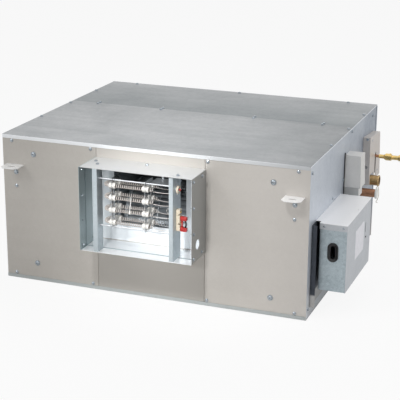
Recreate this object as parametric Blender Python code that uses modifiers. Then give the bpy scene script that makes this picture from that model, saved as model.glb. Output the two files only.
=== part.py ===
"""Ducted fan coil unit with an open-coil electric heater in its discharge collar.

Metres, +Z up. The origin is the centre of the casing's underside. +X is the
connection side, -Y is the discharge side and +Y the return-air side.
Run with: blender --background --python part.py
"""
import math

import bmesh
import bpy
from mathutils import Matrix, Vector

# Driving sizes of the casing
CASE_W = 1.000
CASE_D = 0.840
CASE_H = 0.476
SHEET = 0.0012
GAP = 0.0003
FIT = 0.0006
WELD = 0.00001
LIP = 0.012
WALL_FLANGE = 0.020
SEAM_FLANGE = 0.015
SEAM_X = 0.1775
TOP_SEAM_SETBACK = 0.344
RAIL_WIDTH = 0.040
RAIL_DEPTH = 0.025
LINER = 0.010
RETURN_SIDE_MARGIN = 0.085
RETURN_MARGIN = 0.040

# Hanging brackets
BRACKET_INSET = 0.044
BRACKET_WIDTH = 0.060
BRACKET_LEG = 0.044
BRACKET_NECK = 0.040
BRACKET_THICK = 0.0025
BRACKET_DROP = 0.094
BRACKET_HEIGHT = 0.082
BRACKET_REACH = 0.054
BRACKET_CHAMFER = 0.012
SLOT_RADIUS = 0.006
SLOT_LENGTH = 0.026

# Discharge collar and the spigot that it slides over
COLLAR_HALF = 0.181
COLLAR_DROP = 0.042
COLLAR_HEIGHT = 0.263
COLLAR_REACH = 0.115
COLLAR_HOLE_RADIUS = 0.0155
COLLAR_HOLE_INSET = 0.067
COLLAR_HOLE_RISE = 0.050
SPIGOT_REACH = 0.074

# Heater: posts, rods, racks, coils and controls
POST_LEFT_INSET = 0.045
POST_LEFT_WIDTH = 0.015
POST_LEFT_DEPTH = 0.040
POST_RIGHT_INSET = 0.059
POST_RIGHT_WIDTH = 0.013
POST_RIGHT_DEPTH = 0.062
LEVELS = 4
LEVEL_DROP = 0.0525
LEVEL_PITCH = 0.0382
ROW_SPACING = 0.040
ROD_RADIUS = 0.0022
ROD_INSET = 0.020
ROD_RISE = 0.0185
ROD_FALL = 0.0131
RACK_LEFT_STEP = 0.043
RACK_RIGHT_STEP = 0.080
RACK_SHEET = 0.0015
RACK_MARGIN = 0.0110
RACK_STILE = 0.012
RACK_HEAD = 0.007
RACK_FOOT = 0.0048
BEAD_LENGTH = 0.020
BEAD_WALL = 0.0014
BEAD_COLLAR = 0.0010
BEAD_FIT = 0.0009
WIRE_RADIUS = 0.0007
COIL_RADIUS = 0.0055
COIL_PITCH = 0.0150
COIL_STEPS = 5
COIL_TURN_GAP = 0.0005
COIL_TAIL = 0.023
BRACE_RISE = 0.012
BRACE_DEPTH = 0.066
BRACE_SETBACK = 0.035
STUD_STEP = 0.023
STUD_RADIUS = 0.0035
CUTOUT_DROP = 0.045
CUTOUT_RADIUS = 0.012
CUTOUT_THICK = 0.008
BUTTON_RADIUS = 0.0032
BUTTON_LENGTH = 0.0055
BUTTON_TRAVEL = 0.0015
CONTROL_INSET = 0.031
STRIP_WIDTH = 0.016
STRIP_THICK = 0.012
STRIP_RISE = 0.093
STRIP_HEIGHT = 0.065
STRIP_NOTCH = 0.005
SLEEVE_UPPER_RISE = 0.038
SLEEVE_LOWER_RISE = 0.0045
SLEEVE_RADIUS = 0.0052
SLEEVE_LENGTH = 0.022
SLEEVE_WAIST = 0.0037
SLEEVE_MOUTH = 0.007
SLEEVE_CONE = 0.004

# Double-inlet blower
OUTLET_HALF = 0.1185
OUTLET_DROP = 0.002
FAN_SETBACK = 0.170
WHEEL_RADIUS = 0.120
WHEEL_END_GAP = 0.0185
SCROLL_CLEAR = 0.010
SCROLL_GROWTH = 0.087
CUTOFF_ANGLE = 172.0
OUTLET_ANGLE = 450.0
CUTOFF_LEAD = 4.0
CUTOFF_RADIUS = 0.006
CUTOFF_STEPS = 3
SCROLL_STEPS = 30
SIDE_MARGIN = 0.004
EYE_STEP = 0.008
THROAT_STEP = 0.022
BELL_DEPTH = 0.015
BELL_LEAN = 0.2
BLADES = 22
BLADE_DEPTH = 0.018
BLADE_THICK = 0.0016
BLADE_SWEEP = 10.0
BLADE_CURVE = 1.7
BLADE_INSET = 0.0008
RING_WIDTH = 0.016
RING_THICK = 0.004
DISC_THICK = 0.003
DISC_INSET = 0.0004
HUB_RADIUS = 0.020
HUB_LENGTH = 0.026
SHAFT_RADIUS = 0.006
SHAFT_TAIL = 0.040
MOTOR_RADIUS = 0.060
MOTOR_SHOULDER = 0.051
MOTOR_BEVEL = 0.008
MOTOR_BOSS = 0.015
MOTOR_STEP = 0.007
MOTOR_LENGTH = 0.125
MOTOR_SOCKET = 0.040
CRADLE_WIDTH = 0.030
CRADLE_DEPTH = 0.014
CRADLE_ARMS = 3

# Chilled-water coil, its pipes and the drain pan
COIL_INSET = 0.060
BLOCK_SETBACK = 0.200
BLOCK_DEPTH = 0.132
BLOCK_BASE = 0.075
BLOCK_HEADROOM = 0.051
FIN_PITCH = 0.036
FIN_THICK = 0.0160
FIN_CORE = 0.020
END_FLANGE = 0.014
BEND_RADIUS = 0.0048
BEND_HALF = 0.0125
BEND_COUNT = 5
BEND_PITCH = 0.066
BEND_RISE = 0.025
HEADER_RADIUS = 0.014
HEADER_INSET = 0.0285
HEADER_RISE = 0.015
HEADER_DROP = 0.025
BRANCH_SLACK = 0.0002
STUB_RADIUS = 0.0048
STUB_SHARES = (0.10, 0.29, 0.68, 0.90)
SUPPLY_STEP = 0.048
SUPPLY_Z = 0.248
RETURN_STEP = 0.016
RETURN_Z = 0.212
PIPE_BORE = 0.0115
SUPPLY_END = 0.030
RETURN_END = 0.049
UNION_RADIUS = 0.0200
UNION_BARREL = 0.0180
UNION_LENGTH = 0.053
UNION_NUT = 0.014
UNION_CHAMFER = 0.002
CAP_RADIUS = 0.0180
CAP_THICK = 0.005
CAP_PLUG = 0.012
VENT_STEP = 0.097
VENT_Z = 0.3205
VENT_RADIUS = 0.005
VENT_END = 0.049
FITTING_SOCKET = 0.012
FITTING_WAIST = 0.0068
FITTING_RADIUS = 0.0077
FITTING_FLARE = 0.0100
FITTING_NECK = 0.0185
FITTING_CONE = 0.0039
FITTING_BODY = 0.0218
FITTING_BARREL = 0.0230
FITTING_TIP = 0.0098
FITTING_HEX = 0.0122
PAN_INSET = 0.012
PAN_OVERHANG = 0.020
PAN_HEIGHT = 0.039
SPOUT_STEP = 0.060
SPOUT_RISE = 0.019
SPOUT_RADIUS = 0.010
SPOUT_WALL = 0.0022
SPOUT_END = 0.022

# Covers on the connection side
COVER_FRONT_STEP = 0.009
COVER_FRONT_LEAN = 0.006
COVER_BACK_STEP = 0.057
COVER_BACK_LEAN = 0.021
COVER_DROP = 0.010
COVER_HEIGHT = 0.167
COVER_FALL = 0.012
COVER_REACH = 0.025
COVER_HOLE_RADIUS = 0.005
COVER_HOLE_RISE = 0.062
UNION_NOTCH_GAP = 0.003
VENT_SLOT_GAP = 0.003
VENT_SLOT_RISE = 0.0115
BOX_STANDOFF = 0.016
BOX_DEPTH = 0.084
BOX_SETBACK = 0.064
BOX_LENGTH = 0.301
BOX_BASE = 0.078
BOX_HEIGHT = 0.212
BOX_BAND = 0.020
BOX_NOTCH = 0.016
BOX_BRACKET_LEAD = 0.029
BOX_BRACKET_TAIL = 0.045
BOX_BRACKET_DROP = 0.048
GROMMET_WIDTH = 0.033
GROMMET_HEIGHT = 0.060
GROMMET_RIM = 0.006
GROMMET_RISE = 0.1236
GROMMET_PROUD = 0.003
WIRING_STEP = 0.037
WIRING_LENGTH = 0.055
WIRING_DROP = 0.0687
WIRING_REACH = 0.052
WIRING_SPLAY = 0.003
WIRING_HANG = 0.018
WIRING_SKIRT = 0.028
WIRING_FLARE = 0.003
WIRING_TUCK = 0.004

# Side-withdrawal filter
FILTER_SETBACK = 0.040
FILTER_THICK = 0.020
FILTER_MARGIN = 0.035
FILTER_INSET = 0.030
FILTER_BORDER = 0.020
PLEAT_PITCH = 0.040
PLEAT_THICK = 0.002
TRACK_GAP = 0.0006
TRACK_LEG = 0.015
HATCH_MARGIN = 0.006
PULL_REACH = 0.014
PULL_HEIGHT = 0.080

# Values worked out from the driving sizes: casing
HALF_W = CASE_W / 2
HALF_D = CASE_D / 2
STEP = SHEET + GAP
FRONT_FACE = -HALF_D + STEP
FRONT_INSIDE = FRONT_FACE + SHEET
WALL_FRONT = FRONT_INSIDE + GAP
WALL_BACK = HALF_D - 2 * STEP
PLATE_TOP = CASE_H - STEP
TOP_SEAM_Y = HALF_D - TOP_SEAM_SETBACK
HEADER_WALL = HALF_W + GAP
RETURN_HALF_WIDTH = HALF_W - RETURN_SIDE_MARGIN
BRACKET_X = HALF_W - BRACKET_INSET
BRACKET_TOP = CASE_H - BRACKET_DROP
BRACKET_BASE = BRACKET_TOP - BRACKET_HEIGHT

# Collar and heater
COLLAR_TOP = CASE_H - COLLAR_DROP
COLLAR_BASE = COLLAR_TOP - COLLAR_HEIGHT
COLLAR_FRONT = -HALF_D - COLLAR_REACH
COLLAR_BACK = FRONT_FACE - GAP
POST_LEFT = (POST_LEFT_INSET - COLLAR_HALF, POST_LEFT_INSET - COLLAR_HALF + POST_LEFT_WIDTH)
POST_RIGHT = (COLLAR_HALF - POST_RIGHT_INSET - POST_RIGHT_WIDTH, COLLAR_HALF - POST_RIGHT_INSET)
POST_WEB_OUT = POST_RIGHT[1] + GAP
ROW_FRONT = COLLAR_FRONT + ROD_INSET
ROW_BACK = ROW_FRONT + ROW_SPACING
LEVEL_HEIGHTS = [COLLAR_TOP - LEVEL_DROP - i * LEVEL_PITCH for i in range(LEVELS)]
ROD_TOP = LEVEL_HEIGHTS[0] + ROD_RISE
ROD_BOTTOM = LEVEL_HEIGHTS[-1] - ROD_FALL
RACKS = {"coil_rack_left": POST_LEFT[1] + RACK_LEFT_STEP,
         "coil_rack_right": POST_RIGHT[0] - RACK_RIGHT_STEP}
BEAD_BORE = COIL_RADIUS + WIRE_RADIUS + BEAD_FIT
BEAD_RADIUS = BEAD_BORE + BEAD_WALL
BEAD_COLLAR_RADIUS = BEAD_RADIUS + BEAD_COLLAR
COIL_TURN_X = RACKS["coil_rack_left"] - BEAD_LENGTH / 2 - COIL_TURN_GAP
COIL_END_X = RACKS["coil_rack_right"] + COIL_TAIL
BRACE_Z = LEVEL_HEIGHTS[0] + BRACE_RISE
BRACE_FRONT = COLLAR_FRONT + BRACE_SETBACK
STRIP_BASE = COLLAR_BASE + STRIP_RISE
SLEEVE_Z = {"connector_upper": STRIP_BASE + SLEEVE_UPPER_RISE,
            "connector_lower": STRIP_BASE + SLEEVE_LOWER_RISE}

# Blower
SCROLL_START = WHEEL_RADIUS + SCROLL_CLEAR
SCROLL_END = SCROLL_START + SCROLL_GROWTH
OUTLET_TOP = COLLAR_TOP - OUTLET_DROP
FAN_Y = -HALF_D + FAN_SETBACK
FAN_Z = OUTLET_TOP - SCROLL_END
OUTLET_BASE = FAN_Z + SCROLL_START * math.sin(math.radians(CUTOFF_ANGLE))
SCROLL_FRONT = FRONT_INSIDE + GAP
EYE_RADIUS = WHEEL_RADIUS - EYE_STEP
THROAT_RADIUS = WHEEL_RADIUS - THROAT_STEP
WHEEL_HALF = OUTLET_HALF - WHEEL_END_GAP
MOTOR_FACE = HUB_LENGTH / 2 + MOTOR_STEP

# Coil, pipes and drain pan
COIL_HALF = HALF_W - COIL_INSET
BLOCK_FRONT = HALF_D - BLOCK_SETBACK
BLOCK_TOP = CASE_H - BLOCK_HEADROOM
HEADER_X = HALF_W - HEADER_INSET
HEADER_BASE = BLOCK_BASE + HEADER_RISE
HEADER_TOP = BLOCK_TOP - HEADER_DROP
SUPPLY_Y = BLOCK_FRONT + SUPPLY_STEP
RETURN_Y = BLOCK_FRONT + RETURN_STEP
VENT_Y = BLOCK_FRONT + VENT_STEP
PAN_HALF = HALF_W - PAN_INSET
PAN_FRONT = BLOCK_FRONT - PAN_OVERHANG
PAN_BACK = BLOCK_FRONT + BLOCK_DEPTH + PAN_OVERHANG
PAN_BASE = 2 * STEP
PAN_FLOOR = PAN_BASE + STEP
SPOUT_Y = PAN_FRONT + SPOUT_STEP
SPOUT_Z = PAN_BASE + SPOUT_RISE

# Covers, control box and filter
COVER_FRONT = BLOCK_FRONT + COVER_FRONT_STEP
COVER_BACK = VENT_Y + COVER_BACK_STEP
COVER_BASE = SUPPLY_Z - COVER_DROP
COVER_TOP = COVER_BASE + COVER_HEIGHT
BOX_INNER = HALF_W + BOX_STANDOFF
BOX_OUTER = BOX_INNER + BOX_DEPTH
BOX_FRONT = -HALF_D + BOX_SETBACK
BOX_BACK = BOX_FRONT + BOX_LENGTH
BOX_TOP = BOX_BASE + BOX_HEIGHT
GROMMET_Z = BOX_BASE + GROMMET_RISE
WIRING_FRONT = BOX_BACK + WIRING_STEP
WIRING_BASE = BOX_TOP - WIRING_HANG
WIRING_TOP = CASE_H - WIRING_DROP
FILTER_FRONT = HALF_D - FILTER_SETBACK
FILTER_BASE = FILTER_MARGIN
FILTER_HEIGHT = CASE_H - 2 * FILTER_MARGIN
FILTER_END = HALF_W - FILTER_INSET

PARTS = "fan_coil_unit"
GUIDES = "cutters"
MATERIALS = {
    "galvanised": ((0.62, 0.65, 0.68), 0.38, 0.85),
    "galvanised_warm": ((0.70, 0.68, 0.64), 0.42, 0.80),
    "insulation": ((0.05, 0.05, 0.05), 0.90, 0.0),
    "ceramic": ((0.86, 0.84, 0.79), 0.45, 0.0),
    "heater_wire": ((0.42, 0.38, 0.36), 0.40, 0.9),
    "bright_steel": ((0.78, 0.79, 0.80), 0.25, 0.95),
    "copper": ((0.62, 0.32, 0.20), 0.35, 0.95),
    "brass": ((0.80, 0.62, 0.26), 0.30, 0.95),
    "white_plastic": ((0.90, 0.90, 0.88), 0.40, 0.0),
    "red_plastic": ((0.72, 0.16, 0.15), 0.35, 0.0),
    "black_rubber": ((0.03, 0.03, 0.03), 0.60, 0.0),
    "motor_paint": ((0.10, 0.10, 0.11), 0.50, 0.2),
    "aluminium": ((0.77, 0.78, 0.79), 0.40, 0.9),
    "filter_fibre": ((0.82, 0.84, 0.86), 0.95, 0.0),
    "cover_grey": ((0.70, 0.66, 0.64), 0.50, 0.3),
}


def clear_scene():
    """Remove whatever the file holds before the unit is built."""
    for old in list(bpy.data.objects):
        bpy.data.objects.remove(old, do_unlink=True)


def collection(name):
    """Find or make a collection under the scene."""
    found = bpy.data.collections.get(name)
    if found is None:
        found = bpy.data.collections.new(name)
        bpy.context.scene.collection.children.link(found)
    return found


def material(name):
    """Principled material with the finish's colour, roughness and metal."""
    found = bpy.data.materials.get(name)
    if found is None:
        colour, roughness, metallic = MATERIALS[name]
        found = bpy.data.materials.new(name)
        found.use_nodes = True
        shader = found.node_tree.nodes["Principled BSDF"]
        shader.inputs["Base Color"].default_value = (*colour, 1.0)
        shader.inputs["Roughness"].default_value = roughness
        shader.inputs["Metallic"].default_value = metallic
        found.diffuse_color = (*colour, 1.0)
    return found


def place(name, data, finish=None):
    """Link a finished piece, or a hidden cutter when it has no finish."""
    obj = bpy.data.objects.new(name, data)
    if finish is None:
        collection(GUIDES).objects.link(obj)
        obj.hide_render = True
        obj.display_type = "WIRE"
    else:
        collection(PARTS).objects.link(obj)
        obj.data.materials.append(material(finish))
    return obj


def mesh_from(bm, name):
    """Turn a bmesh into mesh data."""
    bmesh.ops.recalc_face_normals(bm, faces=bm.faces)
    data = bpy.data.meshes.new(name)
    bm.to_mesh(data)
    bm.free()
    return data


def cube_bmesh(low, high):
    """A box between two corners."""
    bm = bmesh.new()
    bmesh.ops.create_cube(bm, size=1.0)
    low, high = Vector(low), Vector(high)
    size = high - low
    middle = (low + high) / 2
    bmesh.ops.scale(bm, vec=size, verts=bm.verts)
    bmesh.ops.translate(bm, vec=middle, verts=bm.verts)
    return bm


def block(name, low, high, finish=None):
    """Solid box between two corners."""
    return place(name, mesh_from(cube_bmesh(low, high), name), finish)


FACES = {"-x": (-1, 0, 0), "+x": (1, 0, 0), "-y": (0, -1, 0), "+y": (0, 1, 0),
         "-z": (0, 0, -1), "+z": (0, 0, 1)}


def bent_sheet(name, low, high, missing, finish, sheet=SHEET):
    """Folded sheet metal: a box's skin without the missing faces, given its thickness inwards."""
    bm = cube_bmesh(low, high)
    bmesh.ops.recalc_face_normals(bm, faces=bm.faces)
    gone = [face for face in bm.faces
            if any(face.normal.dot(Vector(FACES[side])) > 0.9 for side in missing)]
    bmesh.ops.delete(bm, geom=gone, context="FACES")
    return folded_sheet(name, bm, finish, sheet)


def folded_sheet(name, bm, finish, sheet=SHEET):
    """Keep an open surface as sheet metal with its wall on the inside."""
    data = bpy.data.meshes.new(name)
    bm.to_mesh(data)
    bm.free()
    obj = place(name, data, finish)
    solidify(obj, sheet, -1.0)
    return obj


def solidify(obj, thickness, offset):
    """Give an open surface its wall."""
    wall = obj.modifiers.new("wall", "SOLIDIFY")
    wall.thickness = thickness
    wall.offset = offset
    wall.use_even_offset = True
    wall.use_rim = True


AXES = {
    "X": Matrix(((0, 0, 1), (1, 0, 0), (0, 1, 0))).to_4x4(),
    "Y": Matrix(((1, 0, 0), (0, 0, -1), (0, 1, 0))).to_4x4(),
    "Z": Matrix.Identity(4),
}


def flat(name, outlines, thick, axis, middle, finish=None):
    """Plate from closed outlines; the later ones are holes in the first.

    Outlines are (y, z) for axis X, (x, z) for axis Y and (x, y) for axis Z.
    """
    curve = bpy.data.curves.new(name, "CURVE")
    curve.dimensions = "2D"
    curve.fill_mode = "BOTH"
    curve.extrude = thick / 2
    for outline in outlines:
        spline = curve.splines.new("POLY")
        spline.points.add(len(outline) - 1)
        for point, (u, v) in zip(spline.points, outline):
            point.co = (u, v, 0, 1)
        spline.use_cyclic_u = True
    shift = {"X": (middle, 0, 0), "Y": (0, middle, 0), "Z": (0, 0, middle)}[axis]
    return settle(name, curve, Matrix.Translation(shift) @ AXES[axis], finish)


def settle(name, curve, matrix, finish):
    """Make a curve's solid a welded mesh in world space."""
    source = bpy.data.objects.new(name + "_curve", curve)
    bpy.context.scene.collection.objects.link(source)
    graph = bpy.context.evaluated_depsgraph_get()
    data = bpy.data.meshes.new_from_object(source.evaluated_get(graph))
    bpy.data.objects.remove(source, do_unlink=True)
    data.transform(matrix)
    bm = bmesh.new()
    bm.from_mesh(data)
    bmesh.ops.remove_doubles(bm, verts=bm.verts, dist=WELD)
    bmesh.ops.recalc_face_normals(bm, faces=bm.faces)
    bm.to_mesh(data)
    bm.free()
    data.name = name
    return place(name, data, finish)


def tube(name, points, radius, finish=None, sides=8):
    """Round wire or pipe along a chain of points."""
    curve = bpy.data.curves.new(name, "CURVE")
    curve.dimensions = "3D"
    curve.bevel_depth = radius
    curve.bevel_resolution = (sides - 4) // 2
    curve.use_fill_caps = True
    spline = curve.splines.new("POLY")
    spline.points.add(len(points) - 1)
    for point, place_of in zip(spline.points, points):
        point.co = (*place_of, 1)
    return settle(name, curve, Matrix.Identity(4), finish)


def rod(name, start, end, radius, finish=None, sides=16):
    """Straight cylinder from one point to another."""
    start, end = Vector(start), Vector(end)
    along = end - start
    bm = bmesh.new()
    bmesh.ops.create_cone(bm, cap_ends=True, cap_tris=False, segments=sides,
                          radius1=radius, radius2=radius, depth=along.length)
    turn = along.to_track_quat("Z", "Y").to_matrix().to_4x4()
    bmesh.ops.transform(bm, matrix=Matrix.Translation((start + end) / 2) @ turn, verts=bm.verts)
    return place(name, mesh_from(bm, name), finish)


def turned(name, profile, centre, finish=None, steps=24, closed=True):
    """Turned piece about an X-parallel axis; the profile is (radius, x) from far to near."""
    data = bpy.data.meshes.new(name)
    points = [(radius, 0, along) for radius, along in profile]
    edges = [(i, i + 1) for i in range(len(points) - 1)]
    if closed:
        edges.append((len(points) - 1, 0))
    data.from_pydata(points, edges, [])
    obj = place(name, data, finish)
    screw = obj.modifiers.new("turn", "SCREW")
    screw.axis = "Z"
    screw.steps = steps
    screw.render_steps = steps
    screw.use_merge_vertices = True
    screw.merge_threshold = WELD
    obj.matrix_world = Matrix.Translation(centre) @ Matrix.Rotation(math.pi / 2, 4, "Y")
    return obj


def cut(target, *cutters):
    """Remove the cutters' shapes from a piece."""
    boolean(target, "DIFFERENCE", cutters)


def join(target, *additions):
    """Weld helper shapes onto a piece, then dissolve the seams inside its flat faces."""
    boolean(target, "UNION", additions)
    plain = target.modifiers.new("flat_faces", "DECIMATE")
    plain.decimate_type = "DISSOLVE"
    plain.angle_limit = math.radians(0.2)


def boolean(target, operation, tools):
    """One exact boolean step with a collection of helper shapes."""
    helpers = bpy.data.collections.new(f"{target.name}_{operation.lower()}")
    collection(GUIDES).children.link(helpers)
    for tool in tools:
        collection(GUIDES).objects.unlink(tool)
        helpers.objects.link(tool)
    step = target.modifiers.new(operation.lower(), "BOOLEAN")
    step.operation = operation
    step.solver = "EXACT"
    step.operand_type = "COLLECTION"
    step.collection = helpers


def rectangle(low_u, low_v, high_u, high_v):
    """Four corners of a rectangle."""
    return [(low_u, low_v), (high_u, low_v), (high_u, high_v), (low_u, high_v)]


def stadium(centre_u, centre_v, length, radius, upright=False, steps=8):
    """Outline of a slot with round ends."""
    half = length / 2 - radius
    points = []
    for end in (1, -1):
        for i in range(steps + 1):
            angle = -math.pi / 2 + math.pi * i / steps + (0 if end == 1 else math.pi)
            u = end * half + radius * math.cos(angle)
            v = radius * math.sin(angle)
            points.append((centre_u - v, centre_v + u) if upright else (centre_u + u, centre_v + v))
    return points


def side_panel(name, side):
    """Side wall with a flange turned in on all four edges."""
    outer = side * HALF_W
    inner = side * (HALF_W - WALL_FLANGE)
    low = (min(outer, inner), WALL_FRONT, STEP)
    high = (max(outer, inner), WALL_BACK, PLATE_TOP)
    return bent_sheet(name, low, high, ["-x" if side > 0 else "+x"], "galvanised")


def hole_through_wall(name, y, z, radius):
    """Round cutter through the connection-side wall."""
    return rod(name, (HALF_W - LIP, y, z), (HALF_W + LIP, y, z), radius + FIT, sides=18)


def casing():
    """Tray, walls, front panels, rear frame, top panels and the rail under their seam."""
    bent_sheet("base_tray", (-HALF_W, -HALF_D, 0), (HALF_W, HALF_D - STEP, LIP),
               ["-x", "+x", "+z"], "galvanised")
    left = side_panel("side_panel_left", -1)
    slot_low = (-HALF_W - LIP, FILTER_FRONT - FIT, FILTER_BASE - FIT)
    slot_high = (-HALF_W + LIP, FILTER_FRONT + FILTER_THICK + FIT, FILTER_BASE + FILTER_HEIGHT + FIT)
    cut(left, block("filter_slot", slot_low, slot_high))
    right = side_panel("side_panel_right", 1)
    cut(right,
        hole_through_wall("supply_hole", SUPPLY_Y, SUPPLY_Z, HEADER_RADIUS),
        hole_through_wall("return_hole", RETURN_Y, RETURN_Z, HEADER_RADIUS),
        hole_through_wall("vent_hole", VENT_Y, VENT_Z, VENT_RADIUS),
        hole_through_wall("spout_hole", SPOUT_Y, SPOUT_Z, SPOUT_RADIUS))
    front_panels()
    rear = bent_sheet("rear_panel", (-HALF_W - STEP, HALF_D - LIP, 0), (HALF_W + STEP, HALF_D, CASE_H),
                      ["-y", "-z", "+z"], "galvanised")
    cut(rear, block("return_opening", (-RETURN_HALF_WIDTH, HALF_D - LIP, RETURN_MARGIN),
                    (RETURN_HALF_WIDTH, HALF_D + LIP, CASE_H - RETURN_MARGIN)),
        bracket_slot(-1, 1), bracket_slot(1, 1))
    bent_sheet("top_panel_front", (-HALF_W, -HALF_D, CASE_H - LIP), (HALF_W, TOP_SEAM_Y, CASE_H),
               ["-x", "+x", "+y", "-z"], "galvanised")
    block("top_panel_rear", (-HALF_W, TOP_SEAM_Y + GAP, CASE_H - SHEET),
          (HALF_W, HALF_D - STEP, CASE_H), "galvanised")
    rail_end = HALF_W - WALL_FLANGE - GAP
    bent_sheet("top_cross_rail", (-rail_end, TOP_SEAM_Y - RAIL_WIDTH / 2, PLATE_TOP - RAIL_DEPTH),
               (rail_end, TOP_SEAM_Y + RAIL_WIDTH / 2, PLATE_TOP), ["-x", "+x", "-z"], "galvanised")
    liner()


def front_panels():
    """Three front panels with seam flanges; the middle one has the fan outlet."""
    top = PLATE_TOP
    back = FRONT_FACE + SEAM_FLANGE
    seam = SEAM_X + GAP / 2
    left = bent_sheet("front_panel_left", (-HALF_W, FRONT_FACE, STEP), (-seam, back, top),
                      ["-x", "+y", "-z", "+z"], "galvanised_warm")
    cut(left, bracket_slot(-1, -1))
    right = bent_sheet("front_panel_right", (seam, FRONT_FACE, STEP), (HALF_W, back, top),
                       ["+x", "+y", "-z", "+z"], "galvanised_warm")
    cut(right, bracket_slot(1, -1))
    inner = SEAM_X - GAP / 2
    centre = bent_sheet("front_panel_centre", (-inner, FRONT_FACE, STEP), (inner, back, top),
                        ["+y", "-z", "+z"], "galvanised_warm")
    cut(centre, block("outlet_opening", (-OUTLET_HALF, FRONT_FACE - LIP, OUTLET_BASE),
                      (OUTLET_HALF, back, OUTLET_TOP)))


def liner():
    """Foam blanket over both walls and the roof of the fan chamber."""
    outer = HALF_W - STEP
    back = TOP_SEAM_Y - RAIL_WIDTH / 2 - GAP
    base = 2 * STEP
    top = PLATE_TOP - STEP
    front = FRONT_FACE + SEAM_FLANGE + GAP
    bent_sheet("casing_liner", (-outer, front, base), (outer, back, top),
               ["-y", "+y", "-z"], "insulation", LINER)


def bracket_slot(side, facing):
    """Cutter for the slit through which a bracket's tab stands out; facing is -1 at the front."""
    face = FRONT_FACE if facing < 0 else HALF_D
    reach = BRACKET_NECK / 2 + GAP
    x = side * BRACKET_X
    return block(f"bracket_slot_{side}_{facing}", (x - reach, face - LIP, BRACKET_TOP - BRACKET_THICK - GAP),
                 (x + reach, face + LIP, BRACKET_TOP + GAP))


def hanging_bracket(name, side, facing):
    """Angle bracket: a leg behind the panel and a slotted, chamfered tab out through the slit."""
    face = FRONT_FACE if facing < 0 else HALF_D
    inside = face - facing * STEP
    near = face + facing * GAP
    far = near + facing * BRACKET_REACH
    x = side * BRACKET_X
    half = BRACKET_WIDTH / 2
    neck = BRACKET_NECK / 2
    leg_half = BRACKET_LEG / 2
    root = inside - facing * (BRACKET_THICK + GAP)
    tab_height = BRACKET_TOP - BRACKET_THICK / 2
    hidden = inside - facing * BRACKET_THICK
    obj = block(name, (x - leg_half, min(inside, hidden), BRACKET_BASE),
                (x + leg_half, max(inside, hidden), tab_height), "galvanised")
    shoulder = near + facing * GAP
    corner = far - facing * BRACKET_CHAMFER
    tab = [(x - neck, root), (x - neck, near), (x - half, shoulder), (x - half, corner),
           (x - half + BRACKET_CHAMFER, far), (x + half - BRACKET_CHAMFER, far), (x + half, corner),
           (x + half, shoulder), (x + neck, near), (x + neck, root)]
    join(obj, flat(name + "_tab", [tab], BRACKET_THICK, "Z", tab_height))
    slot = stadium(x, (near + far) / 2, SLOT_LENGTH, SLOT_RADIUS)
    cut(obj, flat(name + "_slot", [slot], LIP, "Z", tab_height))


def discharge_collar():
    """Rectangular duct collar, and the shorter spigot inside it."""
    collar = bent_sheet("discharge_collar", (-COLLAR_HALF, COLLAR_FRONT, COLLAR_BASE),
                        (COLLAR_HALF, COLLAR_BACK, COLLAR_TOP), ["-y", "+y"], "galvanised")
    hole_y = COLLAR_BACK - COLLAR_HOLE_INSET
    hole_z = COLLAR_BASE + COLLAR_HOLE_RISE
    cut(collar, rod("collar_hole", (COLLAR_HALF - LIP, hole_y, hole_z),
                    (COLLAR_HALF + LIP, hole_y, hole_z), COLLAR_HOLE_RADIUS, sides=24))
    spigot = bent_sheet("outlet_spigot", (-COLLAR_HALF + STEP, -HALF_D - SPIGOT_REACH, COLLAR_BASE + STEP),
                        (COLLAR_HALF - STEP, COLLAR_BACK, COLLAR_TOP - STEP), ["-y", "+y"], "galvanised")
    cut(spigot, rod("spigot_hole", (COLLAR_HALF - LIP, hole_y, hole_z),
                    (COLLAR_HALF + LIP, hole_y, hole_z), COLLAR_HOLE_RADIUS, sides=24))


def heater_frame():
    """Two channel posts, two rods between them and the brace behind the right rack."""
    base = COLLAR_BASE + STEP
    top = COLLAR_TOP - STEP
    left_back = COLLAR_FRONT + POST_LEFT_DEPTH
    bent_sheet("heater_post_left", (POST_LEFT[0], COLLAR_FRONT + GAP, base),
               (POST_LEFT[1], left_back, top), ["-x", "-z", "+z"], "galvanised")
    right_back = COLLAR_FRONT + POST_RIGHT_DEPTH
    bent_sheet("heater_post_right", (POST_RIGHT[0], COLLAR_FRONT + GAP, base + STEP),
               (POST_RIGHT[1], right_back, top - STEP), ["-x", "-z", "+z"], "galvanised")
    start = POST_LEFT[1] + GAP
    end = POST_RIGHT[1] - SHEET - GAP
    stud_x = RACKS["coil_rack_right"] + STUD_STEP
    for name, height in (("heater_rod_top", ROD_TOP), ("heater_rod_bottom", ROD_BOTTOM)):
        rod(name, (start, ROW_FRONT, height), (end, ROW_FRONT, height), ROD_RADIUS, "bright_steel", 10)
    brace_start = RACKS["coil_rack_right"] + RACK_SHEET / 2 + GAP
    brace = block("rack_brace", (brace_start, BRACE_FRONT, BRACE_Z),
                  (POST_RIGHT[0] - GAP, BRACE_FRONT + BRACE_DEPTH, BRACE_Z + RACK_SHEET), "bright_steel")
    stud_y = BRACE_FRONT + BRACE_DEPTH - 2 * STUD_RADIUS
    join(brace, rod("brace_stud", (stud_x, stud_y, BRACE_Z + RACK_SHEET / 2),
                    (stud_x, stud_y, COLLAR_TOP - 2 * STEP), STUD_RADIUS, sides=8))


def bead_profile():
    """Ceramic bushing: a tube that swells to a collar round its middle."""
    half = BEAD_LENGTH / 2
    return [(BEAD_BORE, half), (BEAD_RADIUS, half), (BEAD_COLLAR_RADIUS, RACK_SHEET),
            (BEAD_COLLAR_RADIUS, -RACK_SHEET), (BEAD_RADIUS, -half), (BEAD_BORE, -half)]


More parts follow.
